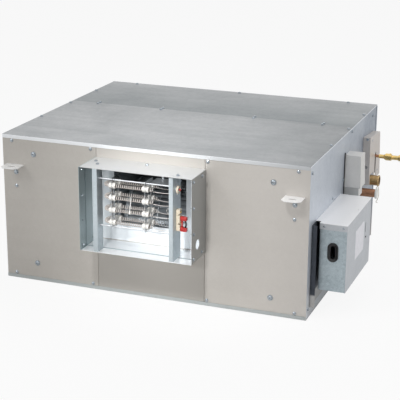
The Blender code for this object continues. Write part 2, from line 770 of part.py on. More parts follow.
def coil_rack(name, x):
    """Ladder plate that hangs on both rods and carries the ceramic bushings."""
    front = ROW_FRONT - RACK_MARGIN
    back = ROW_BACK + RACK_MARGIN
    half = RACK_SHEET / 2
    rack = block(name, (x - half, front, ROD_BOTTOM - RACK_FOOT),
                 (x + half, back, ROD_TOP + RACK_HEAD), "ceramic")
    openings = []
    edge = BEAD_COLLAR_RADIUS + RACK_SHEET
    for upper, lower in zip(LEVEL_HEIGHTS, LEVEL_HEIGHTS[1:]):
        openings.append(block(name + "_window", (x - LIP, front + RACK_STILE, lower + edge),
                              (x + LIP, back - RACK_STILE, upper - edge)))
    for z in (ROD_TOP, ROD_BOTTOM):
        openings.append(rod(name + "_rod_hole", (x - LIP, ROW_FRONT, z), (x + LIP, ROW_FRONT, z),
                            ROD_RADIUS + GAP, sides=8))
    seat = BEAD_BORE + BEAD_WALL / 2
    beads = []
    for y in (ROW_FRONT, ROW_BACK):
        for z in LEVEL_HEIGHTS:
            openings.append(rod(name + "_seat", (x - LIP, y, z), (x + LIP, y, z), seat, sides=6))
            beads.append(turned(name + "_bead", bead_profile(), (x, y, z), steps=7))
    cut(rack, *openings)
    join(rack, *beads)


def circle(u, v, radius, steps):
    """Outline of a round hole."""
    angles = [2 * math.pi * i / steps for i in range(steps)]
    return [(u + radius * math.cos(a), v + radius * math.sin(a)) for a in angles]


def hairpin(distance):
    """Point, tangent and side direction at a distance along one heating coil's centre line."""
    straight = COIL_END_X - COIL_TURN_X
    bend = ROW_SPACING / 2
    arc = math.pi * bend
    middle = (ROW_FRONT + ROW_BACK) / 2
    if distance < straight:
        return Vector((COIL_END_X - distance, ROW_FRONT, 0)), Vector((0, -1, 0))
    if distance < straight + arc:
        angle = (distance - straight) / bend
        side = Vector((-math.sin(angle), -math.cos(angle), 0))
        return Vector((COIL_TURN_X, middle, 0)) + side * bend, side
    run = distance - straight - arc
    return Vector((COIL_TURN_X + run, ROW_BACK, 0)), Vector((0, 1, 0))


def heating_coil(name, height):
    """Open helix wound along a hairpin through both rows of bushings."""
    length = 2 * (COIL_END_X - COIL_TURN_X) + math.pi * ROW_SPACING / 2
    turns = round(length / COIL_PITCH)
    count = turns * COIL_STEPS
    points = []
    for i in range(count + 1):
        centre, side = hairpin(length * i / count)
        angle = 2 * math.pi * i / COIL_STEPS
        offset = side * math.cos(angle) + Vector((0, 0, 1)) * math.sin(angle)
        points.append(centre + offset * COIL_RADIUS + Vector((0, 0, height)))
    tube(name, points, WIRE_RADIUS, "heater_wire", sides=4)


def heater_controls():
    """Thermal cut-out with its reset button, ceramic terminal strip and two sleeved connectors."""
    y = COLLAR_FRONT + CONTROL_INSET
    z = COLLAR_TOP - CUTOUT_DROP
    face = POST_WEB_OUT + CUTOUT_THICK
    start = face + BUTTON_LENGTH / 2 + BUTTON_TRAVEL - BUTTON_LENGTH
    body = rod("thermal_cutout", (POST_WEB_OUT, y, z), (face, y, z), CUTOUT_RADIUS, "ceramic", 20)
    socket_end = start - BUTTON_TRAVEL - GAP
    cut(body, rod("button_socket", (socket_end, y, z), (face + LIP, y, z), BUTTON_RADIUS + GAP, sides=12))
    rod("reset_button", (start, y, z), (start + BUTTON_LENGTH, y, z), BUTTON_RADIUS, "red_plastic", 12)
    strip_face = POST_WEB_OUT + STRIP_THICK
    strip = block("terminal_strip", (POST_WEB_OUT, y - STRIP_WIDTH / 2, STRIP_BASE),
                  (strip_face, y + STRIP_WIDTH / 2, STRIP_BASE + STRIP_HEIGHT), "ceramic")
    notch = STRIP_NOTCH / 2
    middle = sum(SLEEVE_Z.values()) / 2
    for i, height in enumerate((middle, SLEEVE_Z["connector_upper"] + LIP)):
        cut(strip, block(f"strip_notch_{i}", (strip_face - STRIP_NOTCH, y - STRIP_WIDTH, height - notch),
                         (strip_face + LIP, y + STRIP_WIDTH, height + notch)))
    for name, height in SLEEVE_Z.items():
        connector(name, strip_face + GAP, y, height)


def connector(name, start, y, height):
    """Sleeved push-on connector: a barrel that opens into a wider mouth."""
    profile = [(0, SLEEVE_LENGTH), (SLEEVE_WAIST, SLEEVE_LENGTH), (SLEEVE_WAIST, SLEEVE_MOUTH + SLEEVE_CONE),
               (SLEEVE_RADIUS, SLEEVE_MOUTH), (SLEEVE_RADIUS, 0), (0, 0)]
    turned(name, profile, (start, y, height), "red_plastic", 14, closed=False)


def spiral_point(angle, offset=0.0):
    """Point of the scroll: its radius grows evenly from the cut-off to the outlet."""
    share = (angle - CUTOFF_ANGLE) / (OUTLET_ANGLE - CUTOFF_ANGLE)
    radius = SCROLL_START + (SCROLL_END - SCROLL_START) * share + offset
    turn = math.radians(angle)
    return (FAN_Y + radius * math.cos(turn), FAN_Z + radius * math.sin(turn))


def scroll_outline(offset=0.0):
    """Airway outline in (y, z): outlet floor, rounded cut-off, spiral, outlet roof."""
    lip = CUTOFF_RADIUS - offset
    floor = OUTLET_BASE - offset
    edge = spiral_point(CUTOFF_ANGLE + CUTOFF_LEAD, offset)[0]
    centre = (edge - lip, floor - lip)
    points = [(SCROLL_FRONT, floor)]
    for i in range(CUTOFF_STEPS + 1):
        angle = math.pi / 2 * (1 - i / CUTOFF_STEPS)
        points.append((centre[0] + lip * math.cos(angle), centre[1] + lip * math.sin(angle)))
    first = CUTOFF_ANGLE + 2 * CUTOFF_LEAD
    for i in range(SCROLL_STEPS + 1):
        points.append(spiral_point(first + (OUTLET_ANGLE - first) * i / SCROLL_STEPS, offset))
    points.append((SCROLL_FRONT, OUTLET_TOP + offset))
    return points


def scroll_wrapper():
    """One rolled sheet round the spiral, between the two scroll sides."""
    outline = scroll_outline()
    half = OUTLET_HALF - GAP
    bm = bmesh.new()
    left = [bm.verts.new((-half, y, z)) for y, z in outline]
    edges = [bm.edges.new(pair) for pair in zip(left, left[1:])]
    grown = bmesh.ops.extrude_edge_only(bm, edges=edges)["geom"]
    right = [item for item in grown if isinstance(item, bmesh.types.BMVert)]
    bmesh.ops.translate(bm, vec=(2 * half, 0, 0), verts=right)
    data = bpy.data.meshes.new("scroll_wrapper")
    bm.to_mesh(data)
    bm.free()
    obj = place("scroll_wrapper", data, "galvanised")
    solidify(obj, SHEET, -1.0)


def bell_profile():
    """Spun inlet ring from the side plate inwards to its throat."""
    steps = 2
    outer = []
    for i in range(steps + 1):
        angle = math.pi / 2 * i / steps
        radius = THROAT_RADIUS + (EYE_RADIUS + 2 * SHEET - THROAT_RADIUS) * (1 - math.sin(angle))
        outer.append((radius, BELL_DEPTH * (1 - math.cos(angle))))
    inner = [(radius + SHEET, depth + SHEET * BELL_LEAN) for radius, depth in reversed(outer)]
    return outer + inner


def scroll_side(name, side):
    """Scroll side plate with its spun inlet ring."""
    inside = side * OUTLET_HALF
    outline = scroll_outline(SIDE_MARGIN)
    plate = flat(name, [outline, circle(FAN_Y, FAN_Z, EYE_RADIUS, 28)], SHEET, "X",
                 inside + side * SHEET / 2, "galvanised")
    mouth = [(radius, -side * depth) for radius, depth in bell_profile()]
    if side < 0:
        mouth = list(reversed(mouth))
    ring = turned(name + "_inlet", mouth, (inside + side * SHEET, FAN_Y, FAN_Z), steps=24)
    join(plate, ring)


def blade_outline(index):
    """Forward-curved blade in (y, z), swept towards the direction of rotation."""
    inner = WHEEL_RADIUS - BLADE_DEPTH
    steps = 2
    front, back = [], []
    base = 2 * math.pi * index / BLADES
    for i in range(steps + 1):
        share = i / steps
        radius = inner + (BLADE_DEPTH - BLADE_INSET) * share
        angle = base + math.radians(BLADE_SWEEP) * share ** BLADE_CURVE
        half = BLADE_THICK / 2 / radius
        front.append((FAN_Y + radius * math.cos(angle + half), FAN_Z + radius * math.sin(angle + half)))
        back.append((FAN_Y + radius * math.cos(angle - half), FAN_Z + radius * math.sin(angle - half)))
    return front + back[::-1]


def impeller():
    """Double-width wheel: hub and centre disc, two rims and forward-curved blades."""
    half_disc = DISC_THICK / 2
    half_hub = HUB_LENGTH / 2
    bore = SHAFT_RADIUS + GAP
    rim = WHEEL_RADIUS - DISC_INSET
    profile = [(bore, half_hub), (HUB_RADIUS, half_hub), (HUB_RADIUS, half_disc), (rim, half_disc),
               (rim, -half_disc), (HUB_RADIUS, -half_disc), (HUB_RADIUS, -half_hub), (bore, -half_hub)]
    wheel = turned("impeller", profile, (0, FAN_Y, FAN_Z), "galvanised", BLADES)
    additions = []
    inner = WHEEL_RADIUS - RING_WIDTH
    half_ring = RING_THICK / 2
    for side in (-1, 1):
        ring = [(inner, half_ring), (WHEEL_RADIUS, half_ring),
                (WHEEL_RADIUS, -half_ring), (inner, -half_ring)]
        centre = (side * (WHEEL_HALF - half_ring), FAN_Y, FAN_Z)
        additions.append(turned(f"rim_{side}", ring, centre, steps=BLADES))
    span = 2 * WHEEL_HALF - RING_THICK
    for index in range(BLADES):
        additions.append(flat(f"blade_{index}", [blade_outline(index)], span, "X", 0))
    join(wheel, *additions)


def fan_drive():
    """Shaft, motor in the connection-side inlet and its three-armed cradle."""
    rod("fan_shaft", (-SHAFT_TAIL, FAN_Y, FAN_Z), (MOTOR_FACE + MOTOR_SOCKET - GAP, FAN_Y, FAN_Z),
        SHAFT_RADIUS, "bright_steel", 16)
    end = MOTOR_FACE + MOTOR_LENGTH
    bevel = MOTOR_BEVEL
    profile = [(0, end), (MOTOR_SHOULDER, end), (MOTOR_RADIUS, end - bevel),
               (MOTOR_RADIUS, MOTOR_FACE + 2 * bevel), (MOTOR_SHOULDER, MOTOR_FACE + bevel),
               (MOTOR_BOSS, MOTOR_FACE + bevel), (MOTOR_BOSS, MOTOR_FACE)]
    socket = SHAFT_RADIUS + GAP
    profile += [(socket, MOTOR_FACE), (socket, MOTOR_FACE + MOTOR_SOCKET), (0, MOTOR_FACE + MOTOR_SOCKET)]
    turned("motor_body", profile, (0, FAN_Y, FAN_Z), "motor_paint", 24, closed=False)
    start = OUTLET_HALF + SHEET + GAP
    inner = MOTOR_RADIUS + GAP
    outer = inner + 2 * SHEET
    band = [(inner, CRADLE_DEPTH), (outer, CRADLE_DEPTH), (outer, SHEET / 2), (inner, SHEET / 2)]
    cradle = turned("motor_cradle", band, (start, FAN_Y, FAN_Z), "galvanised", 24)
    reach = EYE_RADIUS + CRADLE_WIDTH / 2
    arms = []
    for arm in range(CRADLE_ARMS):
        angle = 2 * math.pi * arm / CRADLE_ARMS + math.pi / 2
        half = CRADLE_WIDTH / 2
        corners = [(inner + SHEET, -half), (reach, -half), (reach, half), (inner + SHEET, half)]
        turn = [(FAN_Y + u * math.cos(angle) - v * math.sin(angle),
                 FAN_Z + u * math.sin(angle) + v * math.cos(angle)) for u, v in corners]
        arms.append(flat(f"cradle_arm_{arm}", [turn], SHEET, "X", start + SHEET / 2))
    join(cradle, *arms)


def fin_outline():
    """Comb outline of the finned block seen from above: fins on both sides of the tube rows."""
    front, back = BLOCK_FRONT, BLOCK_FRONT + BLOCK_DEPTH
    core_front = (front + back - FIN_CORE) / 2
    core_back = core_front + FIN_CORE
    half = COIL_HALF - SHEET - GAP
    count = int((2 * half - FIN_THICK) / FIN_PITCH)
    start = -(count * FIN_PITCH + FIN_THICK) / 2
    near, far = [], []
    for i in range(count + 1):
        x = start + i * FIN_PITCH
        if i == 0:
            x_low, x_high = -half, x + FIN_THICK
        elif i == count:
            x_low, x_high = x, half
        else:
            x_low, x_high = x, x + FIN_THICK
        near += [(x_low, core_front), (x_low, front), (x_high, front), (x_high, core_front)]
        far += [(x_high, core_back), (x_high, back), (x_low, back), (x_low, core_back)][::-1]
    near = near[1:-1]
    far = far[1:-1]
    return near + far[::-1]


def end_plate(name, side):
    """Tube plate with stiffening flanges and a column of return bends."""
    inner = side * (COIL_HALF - SHEET)
    outer = inner + side * END_FLANGE
    low = (min(inner, outer), BLOCK_FRONT, PAN_FLOOR)
    high = (max(inner, outer), BLOCK_FRONT + BLOCK_DEPTH, BLOCK_TOP + END_FLANGE)
    plate = bent_sheet(name, low, high, ["+x" if side > 0 else "-x", "-z"], "galvanised")
    root = inner + side * SHEET / 2
    steps = 4
    bends = []
    column = (SUPPLY_Y + HEADER_RADIUS + VENT_Y - VENT_RADIUS) / 2
    for i in range(BEND_COUNT):
        centre = BLOCK_BASE + BEND_RISE + i * BEND_PITCH
        points = [(root, column, centre + BEND_HALF)]
        for k in range(steps + 1):
            angle = math.pi * k / steps
            points.append((inner + side * (SHEET + BEND_HALF * math.sin(angle)), column,
                           centre + BEND_HALF * math.cos(angle)))
        points.append((root, column, centre - BEND_HALF))
        bends.append(tube(f"{name}_bend_{i}", points, BEND_RADIUS, sides=6))
    join(plate, *bends)


def header(name, y, z, outlet_end):
    """Vertical copper header with its circuit stubs and the connection through the wall."""
    pipe = rod(name, (HEADER_X, y, HEADER_BASE), (HEADER_X, y, HEADER_TOP), HEADER_RADIUS, "copper")
    quarter = HEADER_RADIUS / 4
    end = HALF_W + outlet_end
    branches = [rod(name + "_outlet", (HEADER_X - quarter, y, z), (end, y, z),
                    HEADER_RADIUS - BRANCH_SLACK, sides=18)]
    for i, share in enumerate(STUB_SHARES):
        height = HEADER_BASE + share * (HEADER_TOP - HEADER_BASE)
        branches.append(rod(f"{name}_stub_{i}", (COIL_HALF + GAP, y, height),
                            (HEADER_X - 2 * quarter, y, height), STUB_RADIUS, sides=8))
    join(pipe, *branches)
    cut(pipe, rod(name + "_bore", (HEADER_X + quarter, y, z), (end + LIP, y, z), PIPE_BORE))


def water_side():
    """Finned coil, end plates, headers, unions, vent and drain pan."""
    flat("coil_fins", [fin_outline()], BLOCK_TOP - BLOCK_BASE, "Z",
         (BLOCK_BASE + BLOCK_TOP) / 2, "aluminium")
    end_plate("coil_end_left", -1)
    end_plate("coil_end_right", 1)
    header("header_supply", SUPPLY_Y, SUPPLY_Z, SUPPLY_END)
    header("header_return", RETURN_Y, RETURN_Z, RETURN_END)
    fit = HEADER_RADIUS + GAP
    union = [(fit, UNION_LENGTH), (UNION_BARREL, UNION_LENGTH), (UNION_BARREL, UNION_NUT + UNION_CHAMFER),
             (UNION_RADIUS, UNION_NUT), (UNION_RADIUS, 0), (fit, 0)]
    turned("supply_union", union, (HEADER_WALL, SUPPLY_Y, SUPPLY_Z), "brass", 18)
    plug = PIPE_BORE - GAP
    cap = [(0, CAP_THICK), (CAP_RADIUS, CAP_THICK), (CAP_RADIUS, 0),
           (plug, 0), (plug, -CAP_PLUG), (0, -CAP_PLUG)]
    centre = (HALF_W + RETURN_END + GAP, RETURN_Y, RETURN_Z)
    turned("return_cap", cap, centre, "white_plastic", 24, closed=False)
    vent()
    drain_pan()


def vent():
    """Small copper tube out of the coil with a brass flare fitting on its end."""
    end = HALF_W + VENT_END
    rod("vent_pipe", (COIL_HALF + GAP, VENT_Y, VENT_Z), (end, VENT_Y, VENT_Z), VENT_RADIUS, "copper", 12)
    bore = VENT_RADIUS + GAP
    start = end - FITTING_SOCKET + GAP
    waist, full, wide = FITTING_WAIST, FITTING_RADIUS, FITTING_FLARE
    body_start = FITTING_NECK + FITTING_CONE
    body_end = body_start + FITTING_BODY
    tip_start = body_end + FITTING_BARREL
    length = tip_start + FITTING_TIP
    profile = [(0, length), (wide, length), (wide, tip_start), (full, tip_start), (full, body_end),
               (wide, body_end), (wide, body_start), (waist, FITTING_NECK), (waist, 0), (bore, 0),
               (bore, FITTING_SOCKET), (0, FITTING_SOCKET)]
    fitting = turned("vent_fitting", profile, (start, VENT_Y, VENT_Z), "brass", 16, closed=False)
    shoulder = FITTING_CONE / 6
    nut = rod("vent_nut", (start + body_start + shoulder, VENT_Y, VENT_Z),
              (start + body_end - shoulder, VENT_Y, VENT_Z), FITTING_HEX, sides=6)
    join(fitting, nut)


def drain_pan():
    """Condensate pan under the coil with its spout through the wall."""
    pan = bent_sheet("drain_pan", (-PAN_HALF, PAN_FRONT, PAN_BASE),
                     (PAN_HALF, PAN_BACK, PAN_BASE + PAN_HEIGHT), ["+z"], "galvanised")
    start = PAN_HALF - SHEET / 2
    end = HALF_W + SPOUT_END
    join(pan, rod("spout", (start, SPOUT_Y, SPOUT_Z), (end, SPOUT_Y, SPOUT_Z), SPOUT_RADIUS))
    cut(pan, rod("spout_bore", (PAN_HALF - LIP, SPOUT_Y, SPOUT_Z), (end + LIP, SPOUT_Y, SPOUT_Z),
                 SPOUT_RADIUS - SPOUT_WALL))


def pipe_cover():
    """Cap over the pipe entries, lower at its back, notched for the union and slotted for the vent tube."""
    outer = HALF_W + COVER_REACH
    outline = [(COVER_FRONT + COVER_FRONT_LEAN, COVER_BASE), (COVER_FRONT, COVER_TOP),
               (COVER_BACK, COVER_TOP - COVER_FALL), (COVER_BACK + COVER_BACK_LEAN, COVER_BASE)]
    bm = bmesh.new()
    inner = [bm.verts.new((HEADER_WALL, y, z)) for y, z in outline]
    face = [bm.verts.new((outer, y, z)) for y, z in outline]
    bm.faces.new(face[::-1])
    for i in range(3):
        bm.faces.new((face[i], face[i + 1], inner[i + 1], inner[i]))
    cover = folded_sheet("pipe_cover", bm, "cover_grey")
    notch = UNION_RADIUS + UNION_NOTCH_GAP
    vent_half = VENT_RADIUS + VENT_SLOT_GAP
    hole_z = COVER_BASE + COVER_HOLE_RISE
    cut(cover,
        block("union_notch", (outer - LIP, SUPPLY_Y - notch, COVER_BASE - LIP),
              (outer + LIP, SUPPLY_Y + notch, SUPPLY_Z + notch)),
        block("vent_slot", (outer - LIP, VENT_Y - vent_half, COVER_BASE - LIP),
              (outer + LIP, VENT_Y + vent_half, VENT_Z + VENT_SLOT_RISE)),
        rod("cover_hole", (HALF_W + COVER_REACH / 2, COVER_FRONT - LIP, hole_z),
            (HALF_W + COVER_REACH / 2, COVER_FRONT + LIP, hole_z), COVER_HOLE_RADIUS, sides=16))


def control_box():
    """Electrical box: standing bracket, body, lid and the oval grommet in its near face."""
    bracket_low = (HEADER_WALL, BOX_FRONT - BOX_BRACKET_LEAD, BOX_BASE - BOX_BRACKET_DROP)
    bracket_high = (BOX_INNER - GAP, BOX_BACK - BOX_BRACKET_TAIL, BOX_TOP - STEP)
    bent_sheet("control_box_bracket", bracket_low, bracket_high, ["+x", "-z", "+z"], "galvanised")
    near = BOX_FRONT + STEP
    body = bent_sheet("control_box_body", (BOX_INNER, near, BOX_BASE),
                      (BOX_OUTER - STEP, BOX_BACK - STEP, BOX_TOP - STEP), ["+x", "+z"], "galvanised")
    grommet_x = (BOX_INNER + BOX_OUTER) / 2
    hole_radius = GROMMET_WIDTH / 2 - GROMMET_RIM / 2
    hole = stadium(grommet_x, GROMMET_Z, GROMMET_HEIGHT - GROMMET_RIM, hole_radius, True)
    cut(body, flat("grommet_hole", [hole], 2 * LIP, "Y", near))
    lid = bent_sheet("control_box_cover", (BOX_INNER, BOX_FRONT, BOX_BASE), (BOX_OUTER, BOX_BACK, BOX_TOP),
                     ["-x", "-z"], "galvanised")
    cut(lid, block("lid_trim", (BOX_INNER - LIP, BOX_FRONT - LIP, BOX_BASE - LIP),
                   (BOX_OUTER - SHEET, BOX_BACK + LIP, BOX_TOP - BOX_BAND)))
    notch_back = BOX_FRONT + BOX_NOTCH
    tongue = block("lid_tongue", (HEADER_WALL, notch_back, BOX_TOP - SHEET),
                   (BOX_INNER + LIP, BOX_BACK, BOX_TOP))
    join(lid, tongue)
    grommet(grommet_x, near, hole_radius)


def grommet(x, face, hole_radius):
    """Rubber ring: a flange outside the sheet and a neck through it."""
    inner_radius = hole_radius - GROMMET_RIM / 2
    inner_length = GROMMET_HEIGHT - 2 * GROMMET_RIM
    bore = stadium(x, GROMMET_Z, inner_length, inner_radius, True)
    rim = stadium(x, GROMMET_Z, GROMMET_HEIGHT, GROMMET_WIDTH / 2, True)
    start = face - GAP - GROMMET_PROUD / 2
    ring = flat("cable_grommet", [rim, bore], GROMMET_PROUD, "Y", start, "black_rubber")
    neck_length = GROMMET_HEIGHT - GROMMET_RIM - 2 * GAP
    neck = stadium(x, GROMMET_Z, neck_length, hole_radius - GAP, True)
    depth = GROMMET_PROUD + 2 * SHEET
    join(ring, flat("grommet_neck", [neck, bore], depth, "Y", start + depth / 2))


def wiring_cover():
    """Upright cover over the cable entry: it widens to a flared edge, and its skirt is tucked in."""
    edge = WIRING_BASE + WIRING_SKIRT
    levels = [(WIRING_TOP, 0.0), (edge + WIRING_FLARE, -WIRING_SPLAY), (edge, WIRING_TUCK),
              (WIRING_BASE, WIRING_TUCK)]
    bm = bmesh.new()
    rings = []
    for z, tuck in levels:
        front, back = WIRING_FRONT + tuck, WIRING_FRONT + WIRING_LENGTH - tuck
        outer = HALF_W + WIRING_REACH - tuck
        corners = [(HEADER_WALL, front), (outer, front), (outer, back), (HEADER_WALL, back)]
        rings.append([bm.verts.new((x, y, z)) for x, y in corners])
    bm.faces.new(rings[0])
    for upper, lower in zip(rings, rings[1:]):
        for i in range(3):
            bm.faces.new((upper[i], lower[i], lower[i + 1], upper[i + 1]))
    folded_sheet("wiring_cover", bm, "galvanised")


def filter_track(name, top):
    """Channel between the side walls that guides the filter's edge."""
    end = HALF_W - STEP
    front = FILTER_FRONT - TRACK_GAP - SHEET
    back = FILTER_FRONT + FILTER_THICK + TRACK_GAP + SHEET
    if top:
        web = FILTER_BASE + FILTER_HEIGHT + TRACK_GAP + SHEET
        low, high, missing = web - TRACK_LEG, web, "-z"
    else:
        web = FILTER_BASE - TRACK_GAP - SHEET
        low, high, missing = web, web + TRACK_LEG, "+z"
    bent_sheet(name, (-end, front, low), (end, back, high), ["-x", "+x", missing], "galvanised")


def air_filter():
    """Framed pleated filter that draws out through the left wall, and its two tracks."""
    filter_track("filter_track_top", True)
    filter_track("filter_track_bottom", False)
    base = FILTER_BASE
    top = base + FILTER_HEIGHT
    middle = FILTER_FRONT + FILTER_THICK / 2
    start = -HALF_W - GAP - SHEET / 2
    border = FILTER_BORDER
    rim = rectangle(start, base, FILTER_END, top)
    window = rectangle(-HALF_W + border, base + border, FILTER_END - border, top - border)
    frame = flat("filter_frame", [rim, window], FILTER_THICK, "Y", middle, "galvanised")
    hatch_low = (-HALF_W - GAP - SHEET, FILTER_FRONT - HATCH_MARGIN, base - HATCH_MARGIN)
    hatch_high = (-HALF_W - GAP, FILTER_FRONT + FILTER_THICK + HATCH_MARGIN, top + HATCH_MARGIN)
    hatch = block("filter_hatch", hatch_low, hatch_high)
    pull_z = base + FILTER_HEIGHT / 2
    pull = block("filter_pull", (-HALF_W - GAP - PULL_REACH, middle - SHEET / 2, pull_z - PULL_HEIGHT / 2),
                 (-HALF_W - GAP - SHEET / 2, middle + SHEET / 2, pull_z + PULL_HEIGHT / 2))
    join(frame, hatch, pull)
    low_x = -HALF_W + border + GAP
    high_x = FILTER_END - border - GAP
    flat("filter_media", [pleats(low_x, high_x, middle)], FILTER_HEIGHT - 2 * border - 2 * GAP, "Z",
         base + FILTER_HEIGHT / 2, "filter_fibre")


def pleats(low, high, middle):
    """Zig-zag sheet outline seen from above."""
    count = round((high - low) / PLEAT_PITCH)
    half = FILTER_THICK / 2 - PLEAT_THICK
    step = (high - low) / (2 * count)
    centre = [(low + i * step, middle + (half if i % 2 else -half)) for i in range(2 * count + 1)]
    near = [(x, y - PLEAT_THICK) for x, y in centre]
    return near + centre[::-1]


def build():
    """Build the whole unit."""
    clear_scene()
    casing()
    for row, facing in (("front", -1), ("rear", 1)):
        for side_name, side in (("left", -1), ("right", 1)):
            hanging_bracket(f"hanging_bracket_{row}_{side_name}", side, facing)
    discharge_collar()
    heater_frame()
    for name, x in RACKS.items():
        coil_rack(name, x)
    for number, height in enumerate(LEVEL_HEIGHTS, 1):
        heating_coil(f"heating_coil_{number}", height)
    heater_controls()
    scroll_wrapper()
    scroll_side("scroll_side_left", -1)
    scroll_side("scroll_side_right", 1)
    impeller()
    fan_drive()
    water_side()
    pipe_cover()
    control_box()
    wiring_cover()
    air_filter()


build()
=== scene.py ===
# %% [markdown]
# # Dressing a ducted fan coil unit
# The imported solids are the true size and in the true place. This lesson gives each of them its
# finish, and adds what the solids leave out: fasteners, finely wound heating coils, fins, wires.

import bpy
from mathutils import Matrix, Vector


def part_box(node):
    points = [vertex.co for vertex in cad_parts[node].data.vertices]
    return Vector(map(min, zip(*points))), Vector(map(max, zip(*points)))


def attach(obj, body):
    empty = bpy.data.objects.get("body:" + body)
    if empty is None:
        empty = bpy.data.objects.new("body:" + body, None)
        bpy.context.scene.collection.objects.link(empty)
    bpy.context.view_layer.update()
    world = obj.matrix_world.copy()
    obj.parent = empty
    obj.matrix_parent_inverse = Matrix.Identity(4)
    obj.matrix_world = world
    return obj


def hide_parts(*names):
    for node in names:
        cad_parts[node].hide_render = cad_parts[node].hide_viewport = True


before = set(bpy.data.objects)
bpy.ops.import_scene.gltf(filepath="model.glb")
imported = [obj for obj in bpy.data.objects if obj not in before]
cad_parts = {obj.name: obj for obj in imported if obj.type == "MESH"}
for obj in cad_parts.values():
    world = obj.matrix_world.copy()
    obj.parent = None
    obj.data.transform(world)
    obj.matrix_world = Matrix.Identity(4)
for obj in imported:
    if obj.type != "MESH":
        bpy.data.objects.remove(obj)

# %% [markdown]
# Before anything is added, the tools for the rest are loaded, with short names for the three axes and for a millimetre.

# %% Tools, axes and the millimetre
import math

import bmesh
import bpy
import numpy as np
from mathutils import Matrix, Vector

X, Y, Z = 0, 1, 2
MM = 0.001

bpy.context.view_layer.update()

# %% [markdown]
# The photograph looks down on the front right corner through a fairly long lens. Three directions
# say how the camera stands: what is right, what is up and what is behind it. They become the
# columns of its matrix, which is safer than three angles, because no order has to be remembered.

# %% Stand the camera where the photograph was taken
CAMERA_PLACE = (1.38901, -3.66994, 1.44440)
CAMERA_RIGHT = (0.93489, 0.35487, 0.00617)
CAMERA_UP = (-0.11331, 0.28193, 0.95272)
CAMERA_BACK = (0.33635, -0.89139, 0.30379)
FIELD_OF_VIEW = math.radians(18.558)

scene = bpy.context.scene
lens = bpy.data.cameras.new("camera")
lens.angle = FIELD_OF_VIEW
lens.clip_end = 50
camera = bpy.data.objects.new("camera", lens)
turn = Matrix((CAMERA_RIGHT, CAMERA_UP, CAMERA_BACK)).transposed().to_4x4()
camera.matrix_world = Matrix.Translation(CAMERA_PLACE) @ turn
scene.collection.objects.link(camera)
scene.camera = camera
scene.view_settings.view_transform = "Standard"
print("lens", round(lens.lens, 1), "mm")

# %% [markdown]
# ## Nodes by name
# A material is a small program drawn with boxes and wires. Making a box takes several lines each
# time, so one helper makes it, sets its values and connects whatever is given as a socket.

# %% A helper that places shader nodes
def add(tree, kind, inputs=None, **settings):
    """New shader node. Its inputs, by name or number, are plain values or sockets to connect."""
    made = tree.nodes.new("ShaderNode" + kind)
    for name, value in settings.items():
        setattr(made, name, value)
    for key, value in (inputs or {}).items():
        if isinstance(value, bpy.types.NodeSocket):
            tree.links.new(value, made.inputs[key])
        else:
            made.inputs[key].default_value = value
    return made


def blend_colours(tree, share, first, second):
    """Colour that goes from first to second as share goes from 0 to 1."""
    made = add(tree, "Mix", data_type="RGBA")
    for socket, value in zip((made.inputs[0], made.inputs[6], made.inputs[7]), (share, first, second)):
        if isinstance(value, bpy.types.NodeSocket):
            tree.links.new(value, socket)
        else:
            socket.default_value = value if isinstance(value, float) else (*value, 1.0)
    return made.outputs[2]


def blend_values(tree, share, low, high):
    """Number that goes from low to high as share goes from 0 to 1."""
    return add(tree, "MapRange", {"Value": share, "To Min": low, "To Max": high}).outputs["Result"]


print("node helpers ready")

# %% [markdown]
# ## Floor, backdrop and light
# The photograph is cut out on white. A world that is white for the camera and for mirror-like
# rays gives that background, and steel has something pale to reflect. The rays that light the
# object see a dimmer world, so the lamps still give each face its own tone.

# %% White world
WORLD_LIGHT = 0.50
world = bpy.data.worlds.new("studio")
scene.world = world
world.use_nodes = True
tree = world.node_tree
tree.nodes.clear()
rays = add(tree, "LightPath")
seen = add(tree, "Math", {0: rays.outputs["Is Camera Ray"], 1: rays.outputs["Is Glossy Ray"]}, operation="MAXIMUM")
seen = add(tree, "Math", {0: seen.outputs[0], 1: rays.outputs["Is Transmission Ray"]}, operation="MAXIMUM")
strength = blend_values(tree, seen.outputs[0], WORLD_LIGHT, 1.0)
sky = add(tree, "Background", {"Color": (1, 1, 1, 1), "Strength": strength})
add(tree, "OutputWorld", {"Surface": sky.outputs[0]})
print("world strength", WORLD_LIGHT, "for light, 1 for the camera")

# %% [markdown]
# The floor has to be white in the picture and still show a soft shadow under the unit. Its
# material is therefore part white paint, which takes the shadow, and part glow for the camera.

# %% Floor that keeps the shadow
FLOOR_GLOW = 0.88
FLOOR_SIZE = 40.0
paint = bpy.data.materials.new("floor_paper")
paint.use_nodes = True
tree = paint.node_tree
tree.nodes.clear()
rays = add(tree, "LightPath")
share = add(tree, "Math", {0: rays.outputs["Is Camera Ray"], 1: FLOOR_GLOW}, operation="MULTIPLY")
matte = add(tree, "BsdfDiffuse", {"Color": (0.86, 0.86, 0.86, 1)})
glow = add(tree, "Emission", {"Color": (1, 1, 1, 1), "Strength": 1.0})
both = add(tree, "MixShader", {0: share.outputs[0], 1: matte.outputs[0], 2: glow.outputs[0]})
add(tree, "OutputMaterial", {"Surface": both.outputs[0]})
half = FLOOR_SIZE / 2
corners = np.array([(-half, -half, 0), (half, -half, 0), (half, half, 0), (-half, half, 0)])
sheet = bpy.data.meshes.new("floor")
sheet.from_pydata(corners.tolist(), [], [(0, 1, 2, 3)])
sheet.materials.append(paint)
floor = bpy.data.objects.new("floor", sheet)
floor.location.z = -0.5 * MM
scene.collection.objects.link(floor)
print("floor", FLOOR_SIZE, "m square")

# %% [markdown]
# A large lamp close to an object gives soft edges to shadows, a small one hard edges. The shadow
# under the collar is soft and falls to the right, so the main lamp is a broad one, high on the
# left. A second one, at the right and behind the middle, keeps the connection side from going
# dull. A weak third one hangs over the rear of the top.

